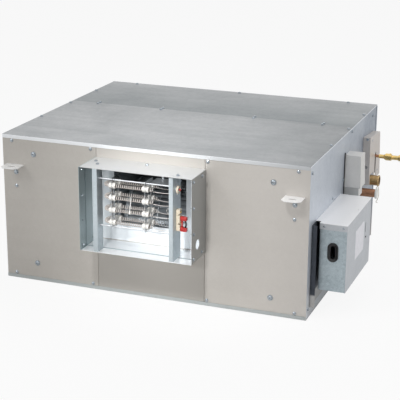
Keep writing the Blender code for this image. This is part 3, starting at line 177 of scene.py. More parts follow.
# %% Soft studio lamps
def stand_lamp(name, kind, place, target, power):
    """Lamp at a place, turned towards a target."""
    lamp = bpy.data.lights.new(name, kind)
    lamp.energy = power
    stand = bpy.data.objects.new(name, lamp)
    aim = Vector(target) - Vector(place)
    stand.matrix_world = Matrix.Translation(place) @ aim.to_track_quat("-Z", "Y").to_matrix().to_4x4()
    scene.collection.objects.link(stand)
    print(name, power, "W")
    return lamp


UNIT_MIDDLE = (0, 0, 0.25)
LAMPS = {  # place, side of the square in metres, power in watts
    "key_light": ((-2.2, -2.8, 3.0), 1.6, 42.0),
    "fill_light": ((3.2, 0.5, 2.4), 2.0, 34.0),
    "top_light": ((0.2, 0.9, 3.6), 2.6, 6.0),
}
for name, (place, size, power) in LAMPS.items():
    lamp = stand_lamp(name, "AREA", place, UNIT_MIDDLE, power)
    lamp.shape = "SQUARE"
    lamp.size = size

# %% [markdown]
# The photograph also has light from the front that all but burns out the panel above the collar
# and the collar's floor. Two spots with fully soft edges do the same: a high one for the front,
# whose shadow falls under the collar, and a low narrow one that reaches into the heater.

# %% Front spots
SPOTS = {  # place, target, cone in degrees, power in watts
    "front_spot": ((0.10, -2.5, 2.70), (0.08, -0.42, 0.37), 19, 260.0),
    "heater_spot": ((-0.15, -2.8, 1.20), (0.01, -0.50, 0.31), 10, 230.0),
}
SPOT_SIZE = 0.12
for name, (place, target, angle, power) in SPOTS.items():
    lamp = stand_lamp(name, "SPOT", place, target, power)
    lamp.spot_size = math.radians(angle)
    lamp.spot_blend = 1.0
    lamp.shadow_soft_size = SPOT_SIZE

# %% [markdown]
# ## Effects shared by the finishes
# Hot-dipped zinc freezes into small crystals that each reflect a little differently. Cells of a
# Voronoi pattern with a random grey each are a good likeness. Two sizes are mixed, because real
# crystals are not all alike. The group gives out a tone and a height, and each steel finish
# decides what to do with them.

# %% Shader group: zinc crystals
def shader_group(name, values, results):
    """Empty node group with float inputs (name: default) and the named float outputs."""
    made = bpy.data.node_groups.new(name, "ShaderNodeTree")
    for label, default in values.items():
        socket = made.interface.new_socket(label, in_out="INPUT", socket_type="NodeSocketFloat")
        socket.default_value = default
    for label in results:
        made.interface.new_socket(label, in_out="OUTPUT", socket_type="NodeSocketFloat")
    return made, made.nodes.new("NodeGroupInput"), made.nodes.new("NodeGroupOutput")


zinc_crystals, given, result = shader_group("zinc_crystals", {"Scale": 120.0}, ["Tone", "Height"])
place = add(zinc_crystals, "TexCoord").outputs["Object"]
large = add(zinc_crystals, "TexVoronoi", {"Vector": place, "Scale": given.outputs["Scale"]})
double = add(zinc_crystals, "Math", {0: given.outputs["Scale"], 1: 2.3}, operation="MULTIPLY")
small = add(zinc_crystals, "TexVoronoi", {"Vector": place, "Scale": double.outputs[0]})
large_grey = add(zinc_crystals, "SeparateColor", {0: large.outputs["Color"]}).outputs[0]
small_grey = add(zinc_crystals, "SeparateColor", {0: small.outputs["Color"]}).outputs[1]
tone = add(zinc_crystals, "Mix", {0: 0.45, 2: large_grey, 3: small_grey}, data_type="FLOAT")
zinc_crystals.links.new(tone.outputs[0], result.inputs["Tone"])
zinc_crystals.links.new(large.outputs["Distance"], result.inputs["Height"])
print("zinc_crystals:", len(zinc_crystals.nodes), "nodes")

# %% [markdown]
# Sheet that has been rolled, folded and carried shows broad, weak clouds and a few long streaks.
# One noise pattern gives the clouds, and the same pattern squeezed along one axis the streaks.

# %% Shader group: handling marks
handling_marks, given, result = shader_group(
    "handling_marks", {"Cloud Scale": 4.0, "Streak Scale": 30.0}, ["Clouds", "Streaks"])
place = add(handling_marks, "TexCoord").outputs["Object"]
clouds = add(handling_marks, "TexNoise", {"Vector": place, "Scale": given.outputs["Cloud Scale"], "Detail": 3.0,
                                          "Roughness": 0.55, "Distortion": 0.4})
squeezed = add(handling_marks, "Mapping", {"Vector": place, "Scale": (0.08, 1.0, 1.0)})
streaks = add(handling_marks, "TexNoise", {"Vector": squeezed.outputs[0], "Scale": given.outputs["Streak Scale"],
                                           "Detail": 2.0, "Roughness": 0.5})
soft = add(handling_marks, "MapRange", {"Value": clouds.outputs[0], "From Min": 0.32, "From Max": 0.68})
thin = add(handling_marks, "MapRange", {"Value": streaks.outputs[0], "From Min": 0.35, "From Max": 0.65})
handling_marks.links.new(soft.outputs[0], result.inputs["Clouds"])
handling_marks.links.new(thin.outputs[0], result.inputs["Streaks"])
print("handling_marks:", len(handling_marks.nodes), "nodes")

# %% [markdown]
# ## Steel finishes
# Every sheet of the casing is zinc-coated, but no two sheets in the photograph have the same
# grey. One function therefore makes the finish, and each sheet gets its own pair of greys, size
# of crystal and gloss. Only colour, roughness and bump vary over the surface. The metallic value
# is the same all over, so it is set straight on the shader.

# %% Zinc-coated sheet
def finish_base(name, metallic, **constants):
    """Material with a cleared Principled shader: (material, tree, shader)."""
    made = bpy.data.materials.new(name)
    made.use_nodes = True
    tree = made.node_tree
    shader = tree.nodes["Principled BSDF"]
    shader.inputs["Metallic"].default_value = metallic
    for socket, value in constants.items():
        shader.inputs[socket.replace("_", " ")].default_value = value
    return made, tree, shader


def use_group(tree, group, **values):
    """Place a shared group in a material with its own values."""
    made = tree.nodes.new("ShaderNodeGroup")
    made.node_tree = group
    for socket, value in values.items():
        made.inputs[socket.replace("_", " ")].default_value = value
    return made


def zinc_sheet(name, dark, light, metallic=0.55, crystals=110.0, speckle=0.35, rough=(0.34, 0.50), cloud=0.5):
    """Zinc-coated steel: tone = speckle of crystals + broad clouds; darker crystals are rougher."""
    made, tree, shader = finish_base(name, metallic)
    zinc = use_group(tree, zinc_crystals, Scale=crystals)
    marks = use_group(tree, handling_marks, Cloud_Scale=4.5, Streak_Scale=26.0)
    broad = add(tree, "Mix", {0: 0.3, 2: marks.outputs["Clouds"], 3: marks.outputs["Streaks"]}, data_type="FLOAT")
    grain = blend_values(tree, zinc.outputs["Tone"], 0.5 - speckle / 2, 0.5 + speckle / 2)
    wide = blend_values(tree, broad.outputs[0], -cloud / 2, cloud / 2)
    share = add(tree, "Math", {0: grain, 1: wide}, operation="ADD", use_clamp=True)
    tree.links.new(blend_colours(tree, share.outputs[0], dark, light), shader.inputs["Base Color"])
    tree.links.new(blend_values(tree, share.outputs[0], rough[1], rough[0]), shader.inputs["Roughness"])
    bump = add(tree, "Bump", {"Height": zinc.outputs["Height"], "Strength": 0.08, "Distance": 0.0004})
    tree.links.new(bump.outputs[0], shader.inputs["Normal"])
    return made


def same_finish(source, name):
    """Copy of a finish under a name of its own, to be given zones of its own."""
    made = source.copy()
    made.name = name
    return made


top_steel = zinc_sheet("top_steel", (0.32, 0.335, 0.345), (0.43, 0.44, 0.45), crystals=70.0, cloud=0.8)
# A copy of the top's finish for the rear top panel, to carry its painted shade.
rear_top_steel = same_finish(top_steel, "rear_top_steel")
side_steel = zinc_sheet("side_steel", (0.30, 0.34, 0.40), (0.48, 0.52, 0.57), crystals=90.0, cloud=0.7)
front_steel = zinc_sheet("front_steel", (0.46, 0.435, 0.40), (0.57, 0.545, 0.51), metallic=0.4, speckle=0.2,
                         cloud=0.35)
# A copy of the front's finish for the middle panel, to carry its painted shadow and painted light.
centre_steel = same_finish(front_steel, "centre_steel")
lip_steel = zinc_sheet("lip_steel", (0.42, 0.45, 0.45), (0.52, 0.55, 0.55), metallic=0.5)
collar_steel = zinc_sheet("collar_steel", (0.62, 0.65, 0.67), (0.76, 0.78, 0.80), metallic=0.45, crystals=140.0,
                          rough=(0.26, 0.42))
# A copy of the collar's finish for the spigot, to carry the painted shade at its rim.
spigot_steel = same_finish(collar_steel, "spigot_steel")
box_steel = zinc_sheet("box_steel", (0.33, 0.40, 0.44), (0.54, 0.62, 0.66), crystals=150.0, speckle=0.7)
post_steel = zinc_sheet("post_steel", (0.40, 0.46, 0.49), (0.56, 0.62, 0.65), crystals=140.0)
lid_steel = zinc_sheet("lid_steel", (0.50, 0.525, 0.555), (0.62, 0.64, 0.67), metallic=0.35, crystals=120.0,
                       speckle=0.3)
# Painted shade: the bracket of the control box is painted near black, as the shade beside the box.
shaded_steel = zinc_sheet("shaded_steel", (0.03, 0.035, 0.045), (0.07, 0.08, 0.10), metallic=0.3, rough=(0.5, 0.7))
entry_steel = zinc_sheet("entry_steel", (0.64, 0.63, 0.61), (0.76, 0.75, 0.73), metallic=0.25, speckle=0.2, cloud=0.3)
# Painted light: the hanging brackets are painted near white, as the light on their level tabs.
hanger_steel = zinc_sheet("hanger_steel", (0.82, 0.82, 0.82), (0.92, 0.92, 0.92), metallic=0.2, speckle=0.2,
                          cloud=0.3)
inner_steel = zinc_sheet("inner_steel", (0.30, 0.33, 0.35), (0.42, 0.45, 0.48), metallic=0.7)
warm_cover = zinc_sheet("warm_cover", (0.56, 0.52, 0.49), (0.66, 0.62, 0.59), metallic=0.3, speckle=0.15, cloud=0.3)
print("steel finishes:", sum("steel" in made.name for made in bpy.data.materials))

# %% [markdown]
# Light and shade are painted into some finishes as zones of another tone: painted highlights on the lip of the top and
# on the top fold of the walls, painted light on the floor of the collar, which makes it brighter than its walls, and
# painted shade on the rear top panel, darker towards the seam. A zone blends a finish to another colour between two
# places on an axis.
# Beyond the second place it has that colour, so a zone that starts where another one ends can end
# that one. A zone is laid over those that come before it in the table.

# %% Zones of painted light and shade
def paint_zone(material, axis, start, end, colour):
    """Blend the base colour to another one, from start to end along one object axis."""
    tree = material.node_tree
    socket = tree.nodes["Principled BSDF"].inputs["Base Color"]
    along = add(tree, "SeparateXYZ", {0: add(tree, "TexCoord").outputs["Object"]}).outputs[axis]
    share = add(tree, "MapRange", {"Value": along, "From Min": start, "From Max": end})
    tree.links.new(blend_colours(tree, share.outputs[0], socket.links[0].from_socket, colour), socket)


rear_low, rear_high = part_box("top_panel_rear")
collar_low, collar_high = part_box("discharge_collar")
lip_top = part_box("top_panel_front")[1].z - 1 * MM
lid_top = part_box("control_box_cover")[1].z
rim_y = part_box("outlet_spigot")[0].y
collar_zones = [
    # Painted shade: the top of the collar a little darker.
    (Z, collar_high.z - 3 * MM, collar_high.z - 2 * MM, (0.56, 0.57, 0.575)),
    # Painted light: the floor of the collar near white.
    (Z, collar_low.z + 3 * MM, collar_low.z + 2 * MM, (0.94, 0.95, 0.96)),
    # Painted shade on the right outer face of the collar.
    (X, collar_high.x - 0.8 * MM, collar_high.x - 0.4 * MM, (0.31, 0.315, 0.31)),
    # Painted shade on the left wall of the collar, in dark teal.
    (X, 5 * MM - collar_high.x, 4 * MM - collar_high.x, (0.36, 0.43, 0.44)),
]
ZONES = {
    # Painted highlight on the front lip of the top, and painted shade towards the right of the top.
    top_steel: [(Z, lip_top, lip_top - 1 * MM, (0.86, 0.88, 0.90)), (X, 0.05, 1.20, (0.10, 0.115, 0.125))],
    # Painted shade on the rear top panel, darkest at the seam.
    rear_top_steel: [(Y, rear_high.y, rear_low.y - 0.10, (0.20, 0.225, 0.235))],
    # Painted highlight on the top fold of the walls, a painted reflection of the floor at their foot, and painted light
    # towards the front.
    side_steel: [(Z, rear_low.z - 3 * MM, rear_low.z - 2 * MM, (0.86, 0.89, 0.93)),
                 (Z, 0.140, 0.020, (0.58, 0.57, 0.56)), (Y, 0.30, -1.10, (0.80, 0.84, 0.90))],
    # Painted light: the front panels lighter and warmer towards the right.
    front_steel: [(X, 0.10, 1.60, (0.88, 0.84, 0.81))],
    # Painted shadow on the middle panel under the collar, painted light on it inside the collar with a thin strip of
    # its own tone left at the floor as painted shade in the corner, and its own beige again above the collar.
    centre_steel: [(Z, collar_low.z, collar_low.z - 2 * MM, (0.43, 0.41, 0.38)),
                   (Z, collar_low.z + 4.5 * MM, collar_low.z + 5.5 * MM, (0.84, 0.88, 0.91)),
                   (Z, collar_high.z - 4 * MM, collar_high.z - 2 * MM, (0.54, 0.515, 0.48))],
    # Painted reflection of the floor: the foot of the bracket lighter.
    shaded_steel: [(Z, 0.072, 0.066, (0.50, 0.49, 0.48))],
    # Painted light: the top of the lid near white.
    lid_steel: [(Z, lid_top - 3 * MM, lid_top - 1 * MM, (0.93, 0.93, 0.94))],
    # Painted shade: a thin dark line along the front rim of the spigot.
    spigot_steel: [*collar_zones, (Y, rim_y + 3 * MM, rim_y + 2.2 * MM, (0.30, 0.36, 0.38))],
    collar_steel: collar_zones,
}
for finish, zones in ZONES.items():
    for zone in zones:
        paint_zone(finish, *zone)
print("zones:", sum(len(zones) for zones in ZONES.values()))

# %% [markdown]
# ## Other finishes
# The rest are simpler: one noise moves colour, roughness and bump together. A fine, shallow grain
# gives moulded plastic, a coarse one copper's patchy tarnish, a deep one foam. Glazed ceramic has
# a soft coat as well.

# %% Plastics, rubber, ceramic and foam
def grained(name, dark, light, rough, grain, depth, metallic=0.0, **constants):
    """Finish with one noise grain: it moves the colour, the roughness and the bump together."""
    made, tree, shader = finish_base(name, metallic, **constants)
    place = add(tree, "TexCoord").outputs["Object"]
    noise = add(tree, "TexNoise", {"Vector": place, "Scale": grain, "Detail": 4.0, "Roughness": 0.6})
    share = add(tree, "MapRange", {"Value": noise.outputs[0], "From Min": 0.3, "From Max": 0.7})
    tree.links.new(blend_colours(tree, share.outputs[0], dark, light), shader.inputs["Base Color"])
    tree.links.new(blend_values(tree, share.outputs[0], rough[1], rough[0]), shader.inputs["Roughness"])
    bump = add(tree, "Bump", {"Height": noise.outputs[0], "Strength": 0.3, "Distance": depth})
    tree.links.new(bump.outputs[0], shader.inputs["Normal"])
    return made


foam = grained("foam", (0.010, 0.011, 0.012), (0.035, 0.037, 0.038), (0.85, 0.95), 700.0, 0.0010)
ivory_ceramic = grained("ivory_ceramic", (0.50, 0.49, 0.46), (0.68, 0.67, 0.64), (0.22, 0.38), 260.0, 0.0002,
                        Coat_Weight=0.3)
beige_ceramic = grained("beige_ceramic", (0.58, 0.50, 0.38), (0.72, 0.65, 0.52), (0.35, 0.5), 320.0, 0.0002)
red_moulding = grained("red_moulding", (0.36, 0.020, 0.022), (0.50, 0.045, 0.040), (0.28, 0.40), 400.0, 0.0001)
white_moulding = grained("white_moulding", (0.74, 0.74, 0.71), (0.84, 0.84, 0.82), (0.35, 0.5), 350.0, 0.0001)
cream_moulding = grained("cream_moulding", (0.62, 0.57, 0.46), (0.72, 0.68, 0.57), (0.4, 0.55), 350.0, 0.0001)
black_moulding = grained("black_moulding", (0.004, 0.004, 0.005), (0.014, 0.014, 0.016), (0.26, 0.4), 420.0, 0.0001)
motor_enamel = grained("motor_enamel", (0.020, 0.021, 0.023), (0.045, 0.047, 0.05), (0.35, 0.5), 240.0, 0.0002)
label_paper = grained("label_paper", (0.74, 0.74, 0.78), (0.82, 0.82, 0.86), (0.45, 0.6), 60.0, 0.00005)
print("moulded and fired finishes ready")

# %% Metals that are turned, drawn or wound
def metal(name, dark, light, rough, grain, depth=0.0001, metallic=1.0):
    """Bare metal: the grained finish with a high metallic value."""
    return grained(name, dark, light, rough, grain, depth, metallic)


resistance_wire = metal("resistance_wire", (0.44, 0.40, 0.37), (0.66, 0.62, 0.59), (0.40, 0.55), 500.0,
                        metallic=0.25)
rod_zinc = metal("rod_zinc", (0.45, 0.47, 0.49), (0.66, 0.68, 0.70), (0.42, 0.55), 300.0, metallic=0.6)
zinc_plate = metal("zinc_plate", (0.60, 0.62, 0.64), (0.80, 0.81, 0.82), (0.20, 0.34), 300.0)
screw_zinc = metal("screw_zinc", (0.20, 0.24, 0.27), (0.62, 0.66, 0.70), (0.18, 0.30), 700.0, metallic=0.95)
copper_tube = metal("copper_tube", (0.34, 0.16, 0.09), (0.56, 0.30, 0.18), (0.30, 0.45), 90.0, metallic=0.8)
turned_brass = metal("turned_brass", (0.58, 0.40, 0.14), (0.84, 0.64, 0.28), (0.20, 0.34), 160.0, metallic=0.9)
aged_brass = metal("aged_brass", (0.36, 0.24, 0.11), (0.56, 0.39, 0.19), (0.30, 0.45), 120.0, metallic=0.8)
fin_stock = metal("fin_stock", (0.55, 0.57, 0.58), (0.74, 0.75, 0.76), (0.30, 0.45), 220.0)
print("metals ready")

# %% [markdown]
# The filter's fibre mat is rough all over and has a little sheen, so it reads as cloth and not as
# card.

# %% Filter fibre
filter_fibre = grained("filter_fibre", (0.60, 0.64, 0.68), (0.78, 0.81, 0.84), (0.9, 1.0), 520.0, 0.0006,
                       Sheen_Weight=0.3)
print("filter fibre ready")

# %% [markdown]
# ## Finish for every solid
# The solids keep their own mesh, so giving them a finish means filling their material slot. A
# table pairs each finish with the pieces that have it, which reads like a paint schedule.

# %% Paint schedule of the solids
CORNERS = ("front_left", "front_right", "rear_left", "rear_right")
SCHEDULE = {
    top_steel: "top_panel_front top_cross_rail",
    rear_top_steel: "top_panel_rear",
    side_steel: "side_panel_left side_panel_right rear_panel",
    shaded_steel: "control_box_bracket",
    entry_steel: "wiring_cover",
    hanger_steel: " ".join("hanging_bracket_" + corner for corner in CORNERS),
    front_steel: "front_panel_left front_panel_right",
    centre_steel: "front_panel_centre",
    lip_steel: "base_tray",
    collar_steel: "discharge_collar rack_brace",
    spigot_steel: "outlet_spigot",
    post_steel: "heater_post_left heater_post_right",
    box_steel: "control_box_body",
    lid_steel: "control_box_cover",
    inner_steel: "scroll_wrapper scroll_side_left scroll_side_right impeller motor_cradle coil_end_left "
                 "coil_end_right drain_pan filter_track_top filter_track_bottom filter_frame",
    foam: "casing_liner",
    ivory_ceramic: "coil_rack_left coil_rack_right",
    beige_ceramic: "thermal_cutout terminal_strip",
    resistance_wire: "heating_coil_1 heating_coil_2 heating_coil_3 heating_coil_4",
    rod_zinc: "heater_rod_top heater_rod_bottom",
    zinc_plate: "fan_shaft",
    red_moulding: "connector_upper connector_lower reset_button",
    motor_enamel: "motor_body",
    fin_stock: "coil_fins",
    copper_tube: "header_supply header_return vent_pipe",
    turned_brass: "vent_fitting",
    aged_brass: "supply_union",
    white_moulding: "return_cap",
    warm_cover: "pipe_cover",
    black_moulding: "cable_grommet",
    filter_fibre: "filter_media",
}
painted = {}
for finish, names in SCHEDULE.items():
    for name in names.split():
        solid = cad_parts[name]
        solid.data.materials.clear()
        solid.data.materials.append(finish)
        painted[name] = finish
print("painted", len(painted), "of", len(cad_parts), "solids")

# %% [markdown]
# ## Surfaces from arrays
# Everything that is added from here on is a surface on a grid: rows run along the piece, columns
# run round it. Such a grid could be drawn point by point in a loop, but numpy works out all its
# points at once from one formula, which is shorter to read and much faster. A piece is then a
# pair of arrays: its points, and the corner numbers of its four-sided faces.

# %% Grids of points become shells
def shell(rings, closed=False):
    """Faces over rings (rows, columns, 3): point (i, j) joins (i, j+1), (i+1, j+1) and (i+1, j).

    The columns always close into a ring. With closed, the last row joins the first as well.
    """
    here = np.arange(rings.shape[0] * rings.shape[1]).reshape(rings.shape[:2])
    down = np.roll(here, -1, axis=0)
    if not closed:
        here, down = here[:-1], down[:-1]
    quads = np.stack((here, np.roll(here, -1, axis=1), np.roll(down, -1, axis=1), down), axis=-1)
    return rings.reshape(-1, 3), quads.reshape(-1, 4)


def capped(rings):
    """Rings with one more row at each end, all of it at that end's middle, which shuts the tube."""
    ends = np.repeat(rings[[0, -1]].mean(axis=1, keepdims=True), rings.shape[1], axis=1)
    return np.concatenate((ends[:1], rings, ends[1:]))


def together(*shells):
    """Several shells as one: corner numbers move on by the points that come before."""
    starts = np.cumsum([0] + [len(points) for points, _ in shells])
    points = np.concatenate([points for points, _ in shells])
    quads = np.concatenate([quads + start for (_, quads), start in zip(shells, starts)])
    return points, quads


def copies(shape, places):
    """One shell at many places: a place is a 4 x 4 matrix, and a point p goes to R p + t."""
    points, quads = shape
    places = np.asarray(places, float)
    moved = np.einsum("mij,nj->mni", places[:, :3, :3], points) + places[:, None, :3, 3]
    steps = np.arange(len(places))[:, None, None] * len(points)
    return moved.reshape(-1, 3), (quads + steps).reshape(-1, 4)


def facing(spots, outward, turns=0.0):
    """Places at the spots with local Z along outward, turned about it by turns (radians)."""
    spots = np.atleast_2d(np.asarray(spots, float))
    outward = np.asarray(outward, float) / np.linalg.norm(outward)
    side = np.cross(outward, (0, 1, 0) if abs(outward[2]) > 0.9 else (0, 0, 1))
    side /= np.linalg.norm(side)
    other = np.cross(outward, side)
    turns = np.broadcast_to(turns, len(spots))[:, None]
    places = np.zeros((len(spots), 4, 4))
    places[:, :3, 0] = np.cos(turns) * side + np.sin(turns) * other
    places[:, :3, 1] = np.cos(turns) * other - np.sin(turns) * side
    places[:, :3, 2] = outward
    places[:, :3, 3] = spots
    places[:, 3, 3] = 1
    return places


def put(shape, spots, outward=(1, 0, 0)):
    """Copies of a shell at the spots, with its Z along outward."""
    return copies(shape, facing(spots, outward))


print("a ring of 8 columns and 3 rows has", len(shell(np.zeros((3, 8, 3)))[1]), "faces")

# %% [markdown]
# Most small fittings are turned on a lathe or pressed from a round blank. Their shape is a
# profile of radius and height, carried round an axis. A hexagon is the same thing with a radius
# that changes with the angle: the distance to a flat side is the flat's own distance divided by
# the cosine of the angle from its middle.

# %% Turned pieces, with six flats where wanted
def turned(profile, steps=24, closed=False):
    """Profile rows (radius, height, flats) turned about Z: x = r cos a, y = r sin a, z = height.

    Flats goes from 0, round, to 1, a hexagon whose flats lie at the radius.
    """
    radius, height, flats = np.array([(*row, 0.0)[:3] for row in profile], float).T[..., None]
    angle = np.linspace(0, 2 * np.pi, steps, endpoint=False)
    from_flat = (angle + np.pi / 6) % (np.pi / 3) - np.pi / 6
    reach = radius * (1 + flats * (1 / np.cos(from_flat) - 1))
    rings = np.stack((reach * np.cos(angle), reach * np.sin(angle), height + 0 * angle), axis=-1)
    return shell(rings, closed)


def peg(radius, half, steps):
    """Round peg about Z from -half to half, to drill with."""
    return turned([(0, -half), (radius, -half), (radius, half), (0, half)], steps)


plain_head = turned([(0, 0), (4 * MM, 0, 1), (4 * MM, 3 * MM, 1), (0, 3 * MM)], 12)
print("a hexagon head has", len(plain_head[0]), "points")

# %% [markdown]
# Wires and tubes are a round section carried along a path. At each point of the path the section
# has to stand square to it. One fixed direction that the path never runs along is enough for
# that: crossed with the path's direction it gives the section's first axis, and crossed again
# its second.

# %% Wires along a path
def swept(path, radius, reference=(0, 0, 1), sides=8, closed=False):
    """Round section of the radius along the path: point + r (cos a U + sin a V), U and V square to it."""
    path = np.asarray(path, float)
    ahead = np.roll(path, -1, 0) - np.roll(path, 1, 0) if closed else np.gradient(path, axis=0)
    ahead /= np.linalg.norm(ahead, axis=1, keepdims=True)
    first = np.cross(ahead, reference)
    first /= np.linalg.norm(first, axis=1, keepdims=True)
    second = np.cross(ahead, first)
    angle = np.linspace(0, 2 * np.pi, sides, endpoint=False)[None, :, None]
    radius = np.broadcast_to(radius, len(path))[:, None, None]
    section = np.cos(angle) * first[:, None] + np.sin(angle) * second[:, None]
    rings = path[:, None] + radius * section
    return shell(rings, True) if closed else shell(capped(rings))


def smooth_path(points, count=40):
    """Points of a Catmull-Rom curve through the given ones, evenly spread over its spans."""
    points = np.asarray(points, float)
    padded = np.concatenate((2 * points[:1] - points[1:2], points, 2 * points[-1:] - points[-2:-1]))
    along = np.linspace(0, len(points) - 1 - 1e-9, count)
    span = along.astype(int)
    t = (along - span)[:, None]
    before, start, end, after = (padded[span + i] for i in range(4))
    return 0.5 * (2 * start + (end - before) * t + (2 * before - 5 * start + 4 * end - after) * t ** 2
                  + (3 * start - before - 3 * end + after) * t ** 3)


print("a smooth path through 3 points:", smooth_path([(0, 0, 0), (1, 0, 0), (1, 1, 0)], 5).shape)

# %% [markdown]
# Sheet metal is a flat strip that a press folds to and fro, and every fold has a small radius.
# The radius is what makes an edge look like sheet metal and not like a cut block: it catches a
# thin line of light. The fold line is given by its corners, and each corner becomes an arc that
# touches both of its legs.

# %% Folded sheets
def rounded(corners, radius, steps=4, closed=False):
    """Polyline with arcs at its corners: (points, directions), both (n, 2).

    With legs u and v the turn is their angle, the arc starts r tan(turn / 2) before the corner,
    and its points are centre + r (sin a u - cos a n), n being the side that the line turns to.
    """
    corners = np.asarray(corners, float)
    legs = np.roll(corners, -1, 0) - corners
    legs /= np.linalg.norm(legs, axis=1, keepdims=True)
    inner = np.arange(len(corners)) if closed else np.arange(1, len(corners) - 1)
    u, v, corner = legs[inner - 1], legs[inner], corners[inner]
    cross = u[:, 0] * v[:, 1] - u[:, 1] * v[:, 0]
    turn = np.arctan2(np.abs(cross), (u * v).sum(1))[:, None]
    n = np.sign(cross)[:, None] * np.stack((-u[:, 1], u[:, 0]), axis=1)
    centre = corner - u * radius * np.tan(turn / 2) + n * radius
    angle = (turn * np.linspace(0, 1, steps + 1))[..., None]
    arcs = centre[:, None] + radius * (np.sin(angle) * u[:, None] - np.cos(angle) * n[:, None])
    ways = np.cos(angle) * u[:, None] + np.sin(angle) * n[:, None]
    points, ways = arcs.reshape(-1, 2), ways.reshape(-1, 2)
    if not closed:
        points = np.concatenate((corners[:1], points, corners[-1:]))
        ways = np.concatenate((legs[:1], ways, legs[-2:-1]))
    return points, ways


def upright(flat_points, along, axis):
    """Points (..., 2) in the plane square to an axis, put at the place along that axis."""
    return np.insert(flat_points, axis, along, axis=-1)


def folded(corners, radius, thick, axis, start, end, closed=False):
    """Sheet on the left of a folded line, from start to end along the axis: a strip of four corners."""
    points, ways = rounded(corners, radius, closed=closed)
    inner = points + thick * np.stack((-ways[:, 1], ways[:, 0]), axis=1)
    strip = np.stack((upright(points, start, axis), upright(points, end, axis),
                      upright(inner, end, axis), upright(inner, start, axis)), axis=1)
    return shell(strip, True) if closed else shell(capped(strip))


def plate(outline, axis, start, end, edge=0.0):
    """Flat plate: a closed outline (n, 2) at start and end along the axis, with its edges broken.

    Each edge is broken by drawing the outline in by that much, as a share of its distance from
    the middle, on the first and the last row.
    """
    outline = np.asarray(outline, float)
    spread = outline - outline.mean(0)
    reach = np.linalg.norm(spread, axis=1, keepdims=True)
    drawn = outline - spread * edge / reach
    edge *= np.sign(end - start)
    rows = [(drawn, start), (outline, start + edge), (outline, end - edge), (drawn, end)]
    return shell(capped(np.stack([upright(points, along, axis) for points, along in rows])))


def oblong(middle, size, radius, steps=5):
    """Outline of a rectangle with round corners, or of a slot where the radius is half its width."""
    half = np.asarray(size, float) / 2
    corners = np.asarray(middle) + half * np.array([(-1, -1), (1, -1), (1, 1), (-1, 1)])
    return rounded(corners, radius, steps, closed=True)[0]


print("a sheet folded once:", len(folded([(0, 0), (1, 0), (1, 1)], 0.1, 0.01, 0, 0, 1)[0]), "points")

# %% [markdown]
# A block with rounded edges is a small ball whose eight parts are pulled apart: each point is a
# corner of an inner box plus the radius times a direction. The directions at the quarter turns
# come twice, once for each side, and the flat faces open between them.

# %% Rounded blocks
def rounded_block(low, high, radius, steps=3):
    """Box with round edges: middle + sign (half size - r) + r direction, for all directions."""
    low, high = np.asarray(low, float), np.asarray(high, float)
    quarter = np.linspace(0, np.pi / 2, steps + 1)
    around = (quarter + np.arange(4)[:, None] * np.pi / 2).ravel()
    rise = np.concatenate((quarter - np.pi / 2, quarter))[:, None]
    direction = np.stack((np.cos(rise) * np.cos(around), np.cos(rise) * np.sin(around),
                          np.sin(rise) + 0 * around), axis=-1)
    sides = np.repeat([(1, 1), (-1, 1), (-1, -1), (1, -1)], steps + 1, axis=0)
    signs = np.empty_like(direction)
    signs[..., :2] = sides
    signs[..., 2] = np.repeat([-1, 1], steps + 1)[:, None]
    return shell(capped((low + high) / 2 + signs * ((high - low) / 2 - radius) + radius * direction))


print("a rounded block has", len(rounded_block((0, 0, 0), (1, 1, 1), 0.1)[1]), "faces")

# %% [markdown]
# The arrays go into a mesh in one step each. Points that fall together at a pole or a seam are
# merged, so the skin is closed, and the faces are then turned outwards. The last lines say which
# body the piece moves with, which finish it stands for and which plainer solid it replaces.

# %% From a shell to a finished piece
CREASE = math.radians(32)


def finish_mesh(data):
    """Merge doubles, turn the faces outwards and shade smooth but for the creases."""
    work = bmesh.new()
    work.from_mesh(data)
    bmesh.ops.remove_doubles(work, verts=work.verts, dist=1e-6)
    bmesh.ops.dissolve_degenerate(work, edges=work.edges, dist=1e-7)
    bmesh.ops.recalc_face_normals(work, faces=work.faces)
    work.to_mesh(data)
    work.free()
    data.shade_smooth()
    data.set_sharp_from_angle(angle=CREASE)


def bake(piece):
    """Put the result of the piece's modifiers into its mesh, and drop them."""
    graph = bpy.context.evaluated_depsgraph_get()
    data = bpy.data.meshes.new_from_object(piece.evaluated_get(graph))
    piece.modifiers.clear()
    piece.data = data


def even_shading(piece):
    """Let the large faces set the normals at their corners, so that flat sheet is shaded flat."""
    step = piece.modifiers.new("even", "WEIGHTED_NORMAL")
    step.keep_sharp = True
    bake(piece)
    return piece


def keep_piece(name, data, finish, body="casing", replaces=()):
    """Object for a finished mesh, riding on its body in its finish."""
    data.materials.append(finish)
    piece = bpy.data.objects.new(name, data)
    scene.collection.objects.link(piece)
    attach(piece, body)
    if replaces:
        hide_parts(*replaces)
    print(f"{name}: {len(data.polygons)} faces")
    return piece


def make_piece(name, shape, finish, body="casing", replaces=()):
    """Piece from a shell of four-sided faces."""
    points, quads = shape
    data = bpy.data.meshes.new(name)
    data.vertices.add(len(points))
    data.vertices.foreach_set("co", points.astype(np.float32).ravel())
    data.loops.add(quads.size)
    data.loops.foreach_set("vertex_index", quads.astype(np.int32).ravel())
    data.polygons.add(len(quads))
    data.polygons.foreach_set("loop_start", np.arange(0, quads.size, 4, dtype=np.int32))
    data.update(calc_edges=True)
    finish_mesh(data)
    return keep_piece(name, data, finish, body, replaces)


def drill(piece, *cutters):
    """Take the cutters' shells out of a piece with one exact boolean each, then drop them."""
    for shape in cutters:
        data = bpy.data.meshes.new("cutter")
        data.from_pydata(shape[0].tolist(), [], shape[1].tolist())
        finish_mesh(data)
        cutter = bpy.data.objects.new("cutter", data)
        scene.collection.objects.link(cutter)
        step = piece.modifiers.new("hole", "BOOLEAN")
        step.object = cutter
        bake(piece)
        bpy.data.objects.remove(cutter)
    piece.data.shade_smooth()
    piece.data.set_sharp_from_angle(angle=CREASE)
    return even_shading(piece)


print("ready to make pieces")
